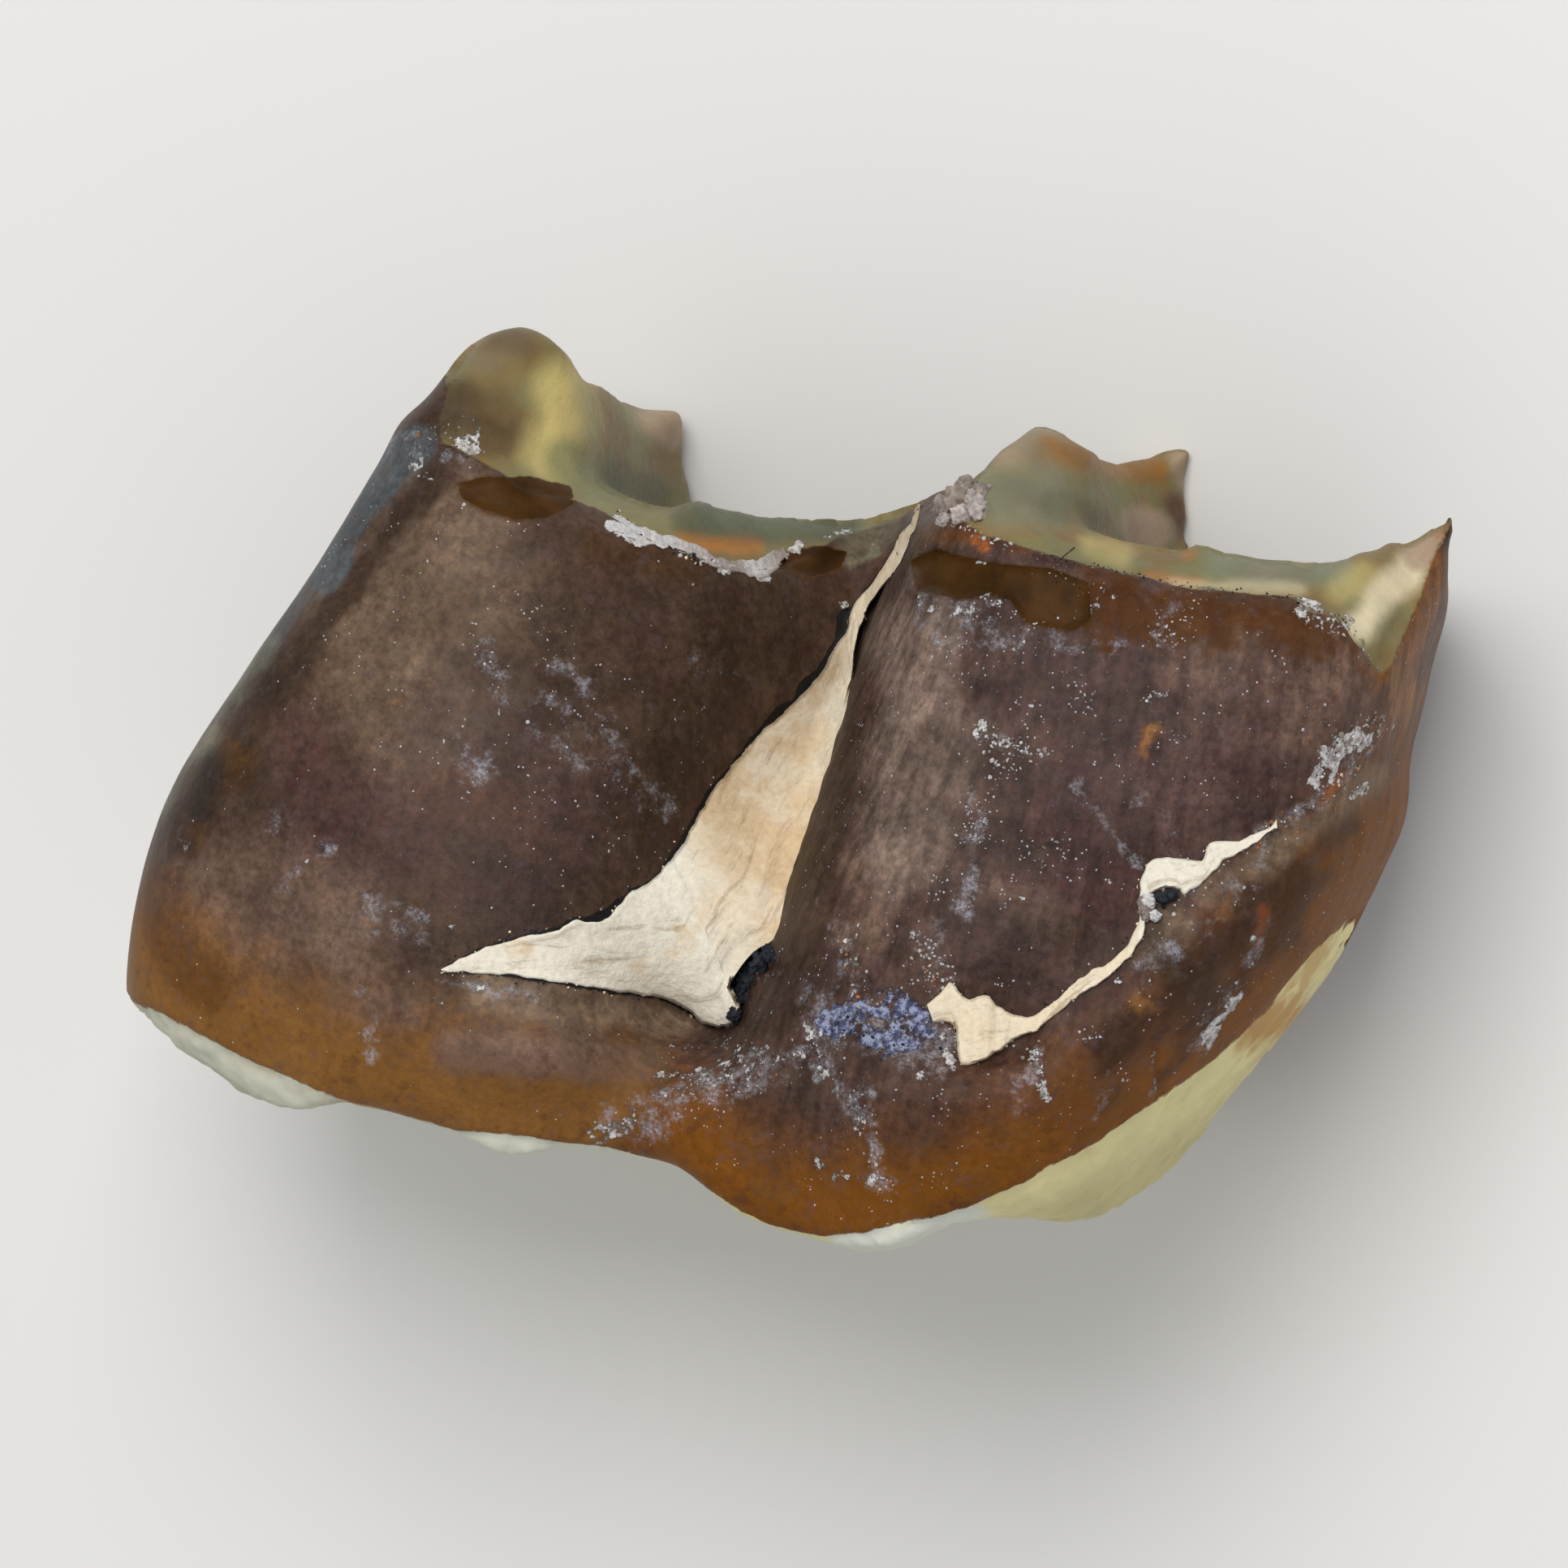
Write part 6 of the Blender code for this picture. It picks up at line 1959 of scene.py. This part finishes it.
GRAIN_RUNS: tuple[GrainRun, ...] = (
    GrainRun(((13.1, 11.7), (13.6, 11.75)), 0.1, 24, 0.045,
             (Tint.CRYSTAL_GREY, Tint.CRYSTAL_GREY, Tint.CRYSTAL_WHITE)),
    GrainRun(((13.2, 11.1), (13.8, 10.95), (14.3, 10.85)), 0.06, 40, 0.045, WHITES),
    GrainRun(((7.77, 9.95), (8.37, 9.74), (9.1, 9.56), (9.81, 9.5)), 0.045, 60, 0.045,
             (Tint.CRYSTAL_WHITE, Tint.ROCK_CREAM, Tint.MINERAL_BLACK)),
    GrainRun(((14.9, 10.86), (15.85, 10.9), (17.1, 10.9), (18.6, 11.08), (19.15, 11.15)), 0.03, 90,
             0.026, DARK_RIM, 0.8),
    GrainRun(((14.6, 10.8), (15.4, 10.6), (16.0, 10.5)), 0.12, 36, 0.022, MIXED_RIM),
    GrainRun(((15.14, 10.86), (15.36, 11.12)), 0.0, 44, 0.018, (Tint.MINERAL_BLACK,), 0.3),
    GrainRun(((19.2, 11.0), (19.9, 11.0), (20.6, 10.3)), 0.04, 34, 0.035, MIXED_RIM, 0.8),
    GrainRun(((19.3, 10.85), (19.9, 10.85)), 0.08, 40, 0.035, WHITES),
    GrainRun(((14.75, 9.66), (15.4, 9.95), (15.94, 10.38)), 0.04, 16, 0.032, WHITES),
    GrainRun(((4.32, 10.48), (4.87, 10.54), (5.46, 10.36)), 0.1, 34, 0.04,
             (Tint.CRYSTAL_PINK, Tint.CRYSTAL_GREY, Tint.CRYSTAL_PINK, Tint.CRYSTAL_RUST)),
    GrainRun(((11.0, 2.31), (11.25, 2.9), (11.55, 3.6)), 0.07, 50, 0.06,
             (Tint.MINERAL_BLACK, Tint.MINERAL_BLACK, Tint.VIOLET)),
    GrainRun(((18.91, 6.92), (19.4, 7.38), (20.13, 8.1), (20.86, 9.36)), 0.09, 70, 0.045,
             (Tint.CRYSTAL_GREY, Tint.CRYSTAL_WHITE, Tint.CRYSTAL_RUST)),
    GrainRun(((12.64, 2.83), (13.53, 2.76), (14.53, 2.71)), 0.16, 60, 0.04,
             (Tint.VIOLET, Tint.CRYSTAL_GREY, Tint.MINERAL_BLACK)),
    GrainRun(((14.45, 7.75), (15.3, 7.67)), 0.08, 22, 0.045, WHITES),
    GrainRun(((13.91, 4.14), (14.44, 3.7)), 0.1, 26, 0.045, MIXED_GRAINS),
    GrainRun(((12.63, 4.11), (13.15, 3.15)), 0.1, 26, 0.045, MIXED_GRAINS),
    GrainRun(((17.0, 10.4), (17.05, 9.8)), 0.12, 26, 0.04, WHITES),
    GrainRun(((6.03, 7.18), (6.39, 6.72)), 0.1, 16, 0.035, WHITES),
    GrainRun(((10.2, 0.6), (11.2, 1.3), (12.1, 1.9)), 0.18, 50, 0.035, WHITES),
    GrainRun(((17.5, 5.7), (17.9, 6.1)), 0.06, 16, 0.05, DARK_AND_WHITE),
    GrainRun(Outlines.seam_low, 0.05, 110, 0.03, (Tint.ROCK_CREAM, Tint.CRYSTAL_WHITE)),
    GrainRun(Outlines.seam_top, 0.04, 90, 0.03, (Tint.ROCK_CREAM, Tint.MINERAL_BLACK)),
    GrainRun(Outlines.fill_left[:10], 0.06, 90, 0.026,
             (Tint.ROCK_CREAM, Tint.MINERAL_BLACK, Tint.MINERAL_BLACK)),
    GrainRun(Outlines.fill_foot, 0.05, 70, 0.03, (Tint.ROCK_CREAM, Tint.MINERAL_BLACK)),
    GrainRun(((14.49, 7.9), (14.87, 7.71), (15.5, 7.72)), 0.1, 44, 0.04, WHITES),
    GrainRun(((14.58, 7.4), (14.87, 7.35)), 0.06, 10, 0.05, WHITES),
    GrainRun(((15.59, 9.13), (15.97, 8.62)), 0.12, 24, 0.035, WHITES),
    GrainRun(((16.78, 8.9), (17.13, 9.12)), 0.06, 12, 0.035, WHITES),
    GrainRun(((17.41, 8.5), (17.69, 8.36)), 0.1, 14, 0.035, WHITES),
    GrainRun(((14.31, 9.11), (14.81, 9.47)), 0.05, 14, 0.035, WHITES),
    GrainRun(((13.94, 4.35), (14.25, 4.22), (14.18, 3.79)), 0.12, 26, 0.04, WHITES),
    GrainRun(((14.42, 6.35), (14.7, 6.03)), 0.1, 20, 0.035, WHITES),
    GrainRun(((19.95, 8.4), (20.24, 8.94), (20.54, 9.22)), 0.08, 44, 0.055, WHITES),
    GrainRun(((20.61, 9.37), (20.89, 9.57)), 0.08, 16, 0.045, (Tint.CRYSTAL_GREY, Tint.CRYSTAL_GREEN)),
    GrainRun(((20.24, 7.99), (20.58, 8.23), (20.79, 8.38)), 0.08, 22, 0.04, MIXED_GRAINS),
    GrainRun(((16.91, 3.4), (17.14, 3.65)), 0.1, 10, 0.035, WHITES),
    GrainRun(((17.54, 2.97), (17.67, 2.86)), 0.08, 10, 0.04, WHITES),
    GrainRun(((16.04, 2.92), (16.25, 2.84)), 0.08, 12, 0.045, WHITES),
    GrainRun(((17.28, 4.41),), 0.03, 5, 0.06, WHITES),
    GrainRun(((9.33, 0.09), (9.9, 0.42)), 0.08, 14, 0.045, WHITES),
)


@dataclass(frozen=True)
class Lump:
    """One lump of crystals: its place on the sight plane, its sizes and its colour."""

    place: Place
    sizes: Colour
    tint: Tint


@dataclass
class CrystalLumps:
    """Rough lumps of crystals that sit on the crown, as one piece."""

    name: str
    crown: Surface
    lumps: tuple[Lump, ...]
    finish: bpy.types.Material
    roughness: float = 0.34
    lift: float = 0.0
    drop: float = 0.9
    fines: float = 0.7
    shading: float = 1.6

    def build(self) -> None:
        """Makes the lumps, joins them and hands them over."""
        made, tints = [], []
        for number, lump in enumerate(self.lumps):
            point = self.crown.near_hit(*lump.place, drop=self.drop)
            if point is None:
                continue
            point = point + TOOTH.towards_camera * self.lift * MM
            item = added(bpy.ops.mesh.primitive_ico_sphere_add, self.name, subdivisions=4)
            ball = read_points(item.data)
            swell = layered_noise(ball, 0.8, Seed.CRYSTAL + number) * self.roughness
            fines = layered_noise(ball, 0.25, Seed.CRYSTAL_FINES + number, 2)
            swell += fines * self.roughness * self.fines
            ball = ball * (1.0 + swell[:, None]) * np.array(lump.sizes)
            right, up, back = Studio().axes()
            turned = ball @ np.array([list(right), list(up), list(back)])
            write_points(item.data, turned * MM + np.array(point))
            # Painted shade and light: each lump is darker in its dents and lighter on its bulges.
            tints.append(np.array(lump.tint.value) * (1.0 + swell[:, None] * self.shading))
            made.append(item)
        joined(made)
        bpy.ops.object.shade_smooth()
        paint(made[0].data, "tint", np.concatenate(tints))
        made[0].data.materials.append(self.finish)
        hand_over(made[0])


NOTCH_LUMPS: tuple[Lump, ...] = (
    Lump((13.2, 11.55), (0.22, 0.22, 0.16), Tint.CRYSTAL_GREY),
    Lump((13.45, 11.69), (0.22, 0.19, 0.16), Tint.CRYSTAL_GREY),
    Lump((13.36, 11.43), (0.28, 0.24, 0.18), Tint.CRYSTAL_GREY),
    Lump((13.16, 11.25), (0.2, 0.24, 0.16), Tint.CRYSTAL_GREY),
    Lump((13.46, 11.21), (0.22, 0.18, 0.17), Tint.CRYSTAL_PINK),
    Lump((13.7, 11.37), (0.19, 0.22, 0.17), Tint.CRYSTAL_PINK),
    Lump((13.19, 11.07), (0.16, 0.14, 0.12), Tint.CRYSTAL_PINK),
    Lump((13.69, 11.66), (0.17, 0.16, 0.12), Tint.CRYSTAL_GREY),
    Lump((13.6, 11.54), (0.16, 0.16, 0.14), Tint.CRYSTAL_PINK),
)

GROOVE_LUMPS: tuple[Lump, ...] = (
    Lump((11.4, 3.72), (0.14, 0.15, 0.06), Tint.MINERAL_BLACK),
    Lump((11.26, 3.54), (0.17, 0.15, 0.08), Tint.MINERAL_TEAL),
    Lump((11.1, 3.34), (0.18, 0.15, 0.08), Tint.MINERAL_BLACK),
    Lump((10.97, 3.12), (0.18, 0.16, 0.08), Tint.MINERAL_BLACK),
    Lump((10.95, 2.86), (0.17, 0.16, 0.08), Tint.MINERAL_BLACK),
    Lump((11.08, 2.64), (0.17, 0.15, 0.08), Tint.MINERAL_TEAL),
    Lump((11.17, 2.4), (0.12, 0.14, 0.06), Tint.MINERAL_BLACK),
    Lump((11.42, 3.36), (0.15, 0.17, 0.06), Tint.MINERAL_BLACK),
    Lump((11.3, 3.08), (0.18, 0.18, 0.06), Tint.MINERAL_TEAL),
    Lump((11.27, 2.8), (0.16, 0.16, 0.06), Tint.MINERAL_BLACK),
    Lump((11.52, 3.52), (0.1, 0.13, 0.05), Tint.MINERAL_BLACK),
)

SEAM_LUMPS: tuple[Lump, ...] = (
    Lump((17.77, 5.89), (0.14, 0.09, 0.07), Tint.MINERAL_BLACK),
    Lump((17.9, 5.97), (0.1, 0.08, 0.07), Tint.MINERAL_BLACK),
    Lump((17.54, 5.78), (0.12, 0.12, 0.1), Tint.CRYSTAL_WHITE),
    Lump((17.52, 5.59), (0.12, 0.13, 0.1), Tint.CRYSTAL_GREY),
    Lump((17.69, 5.57), (0.1, 0.09, 0.08), Tint.CRYSTAL_WHITE),
    Lump((17.44, 5.73), (0.08, 0.1, 0.08), Tint.CRYSTAL_GREY),
)


@dataclass(frozen=True)
class Studio:
    """A pale floor, soft light and the camera."""

    middle: tuple[float, float, float] = (-0.31, -0.48, 6.0)
    across: tuple[float, float, float] = (71.6, 12.9, -22.0)
    upward: tuple[float, float, float] = (-16.8, 73.2, -11.6)
    frame_width: float = 0.02542
    distance: float = 0.3
    sensor: float = 36.0
    floor_size: float = 3.0
    floor_clouds: float = 40.0
    world: float = 0.5
    key_way: tuple[float, float, float] = (-0.18, 0.38, 0.92)
    key_power: float = 0.40
    key_distance: float = 0.25
    key_size: float = 0.13

    def build(self) -> None:
        """Sets out the floor, the light and the camera."""
        self.lay_floor()
        self.light_up()
        self.place_camera()

    def lay_floor(self) -> None:
        """Makes the floor."""
        floor = added(bpy.ops.mesh.primitive_plane_add, "floor", size=self.floor_size)
        fin = Finish("pale_floor")
        cloud = fin.noise(self.floor_clouds, 3.0, 0.5)
        colour = fin.scaled(Tint.FLOOR, fin.between(cloud, 0.3, 0.7, 0.985, 1.0))
        finish = fin.finish(Base_Color=colour, Roughness=0.9, Specular_IOR_Level=0.2)
        floor.data.materials.append(finish)

    def light_up(self) -> None:
        """Makes the sky and one soft lamp from the upper left."""
        world = bpy.data.worlds.new("soft_sky")
        world.use_nodes = True
        sky = world.node_tree.nodes["Background"]
        sky.inputs["Color"].default_value = (*Tint.SKY.value, 1.0)
        sky.inputs["Strength"].default_value = self.world
        bpy.context.scene.world = world
        right, up, back = self.axes()
        aside, upwards, forward = self.key_way
        way = (right * aside + up * upwards + back * forward).normalized()
        lamp = bpy.data.lights.new("key", "AREA")
        lamp.energy = self.key_power
        lamp.size = self.key_size
        lamp.color = Tint.LAMP.value
        key = bpy.data.objects.new("key", lamp)
        key.location = Vector(self.middle) * MM + way * self.key_distance
        key.rotation_euler = way.to_track_quat("Z", "Y").to_euler()
        bpy.context.scene.collection.objects.link(key)

    def axes(self) -> tuple[Vector, Vector, Vector]:
        """The camera's right, up and back."""
        right = Vector(self.across).normalized()
        up = Vector(self.upward).normalized()
        return right, up, right.cross(up).normalized()

    def place_camera(self) -> None:
        """Sets the camera square to the sight plane, far off with a long lens."""
        right, up, back = self.axes()
        lens = bpy.data.cameras.new("camera")
        lens.sensor_width = self.sensor
        lens.lens = self.sensor * self.distance / self.frame_width
        lens.clip_start = 0.001
        camera = bpy.data.objects.new("camera", lens)
        turn = Matrix((right, up, back)).transposed().to_4x4()
        camera.matrix_world = Matrix.Translation(Vector(self.middle) * MM + back * self.distance) @ turn
        bpy.context.scene.collection.objects.link(camera)
        bpy.context.scene.camera = camera
        bpy.context.scene.view_settings.view_transform = "Standard"


def main() -> None:
    """Builds every piece in order."""
    logging.basicConfig(level=logging.INFO, format="%(message)s")
    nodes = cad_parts
    crown = Crown(nodes["tooth_crown"], nodes["cingulum_sediment"])
    crown.build()
    stone = RockFinish().build()
    mineral = GrainFinish().build()
    low_right, high_right = Outlines.fill_right[1:9], Outlines.fill_right[9:]
    Sediment(
        "groove_fill", "groove_rock", crown.surface,
        Outlines.fill_foot + shifted(low_right, 0.13, 0.0) + high_right, Outlines.fill_left, stone,
        "groove_sediment", Outlines.fill_right[3:9], steps=300, rows=60, film=0.06, thickest=6.0,
        sheet=TautSheet(crown.surface, Outlines.fill), evenness=12, edge=0.07, ragged=0.05,
        waver=0.045, warm_side=0.9,
        tints=((0.0, Tint.ROCK_WHITE), (0.36, Tint.ROCK_WHITE), (0.44, Tint.ROCK_CREAM),
               (0.5, Tint.ROCK_PEACH), (0.62, Tint.ROCK_PEACH), (0.7, Tint.ROCK_CREAM),
               (0.95, Tint.ROCK_CREAM), (1.0, Tint.ROCK_TAN)),
    ).build()
    Sediment(
        "ridge_seam", "cingulum_rock", crown.surface, shifted(Outlines.seam_low, 0.04, -0.05),
        shifted(Outlines.seam_top, -0.02, 0.04), stone, "cingulum_sediment", steps=260, rows=18,
        film=0.06, edge=0.05, ragged=0.05, lump=0.025, waver=0.045,
        tints=((0.0, Tint.ROCK_CREAM), (0.5, Tint.ROCK_CREAM), (0.6, Tint.ROCK_WHITE),
               (1.0, Tint.ROCK_WHITE)),
    ).build()
    Sediment(
        "rim_crust", "groove_rock", crown.surface, Outlines.crust_low, Outlines.crust_high,
        mineral, steps=200, rows=14, film=0.02, edge=0.04, ragged=0.09, lump=0.03, waver=0.09,
        tints=((0.0, Tint.CRYSTAL_WHITE), (0.3, Tint.CRYSTAL_WHITE), (0.55, Tint.CRYSTAL_PINK),
               (0.7, Tint.CRYSTAL_GREY), (0.8, Tint.CRYSTAL_WHITE), (1.0, Tint.CRYSTAL_GREY)),
    ).build()
    CrystalLumps("notch_crystals", crown.surface, NOTCH_LUMPS, mineral).build()
    CrystalLumps(
        "groove_crystals", crown.surface, GROOVE_LUMPS, mineral, roughness=0.6, lift=0.8, drop=9.0,
    ).build()
    CrystalLumps("seam_crystals", crown.surface, SEAM_LUMPS, mineral, lift=0.1).build()
    MineralGrains("mineral_grains", crown.surface, GRAIN_RUNS).build()
    Studio().build()


if __name__ == "__main__":
    main()
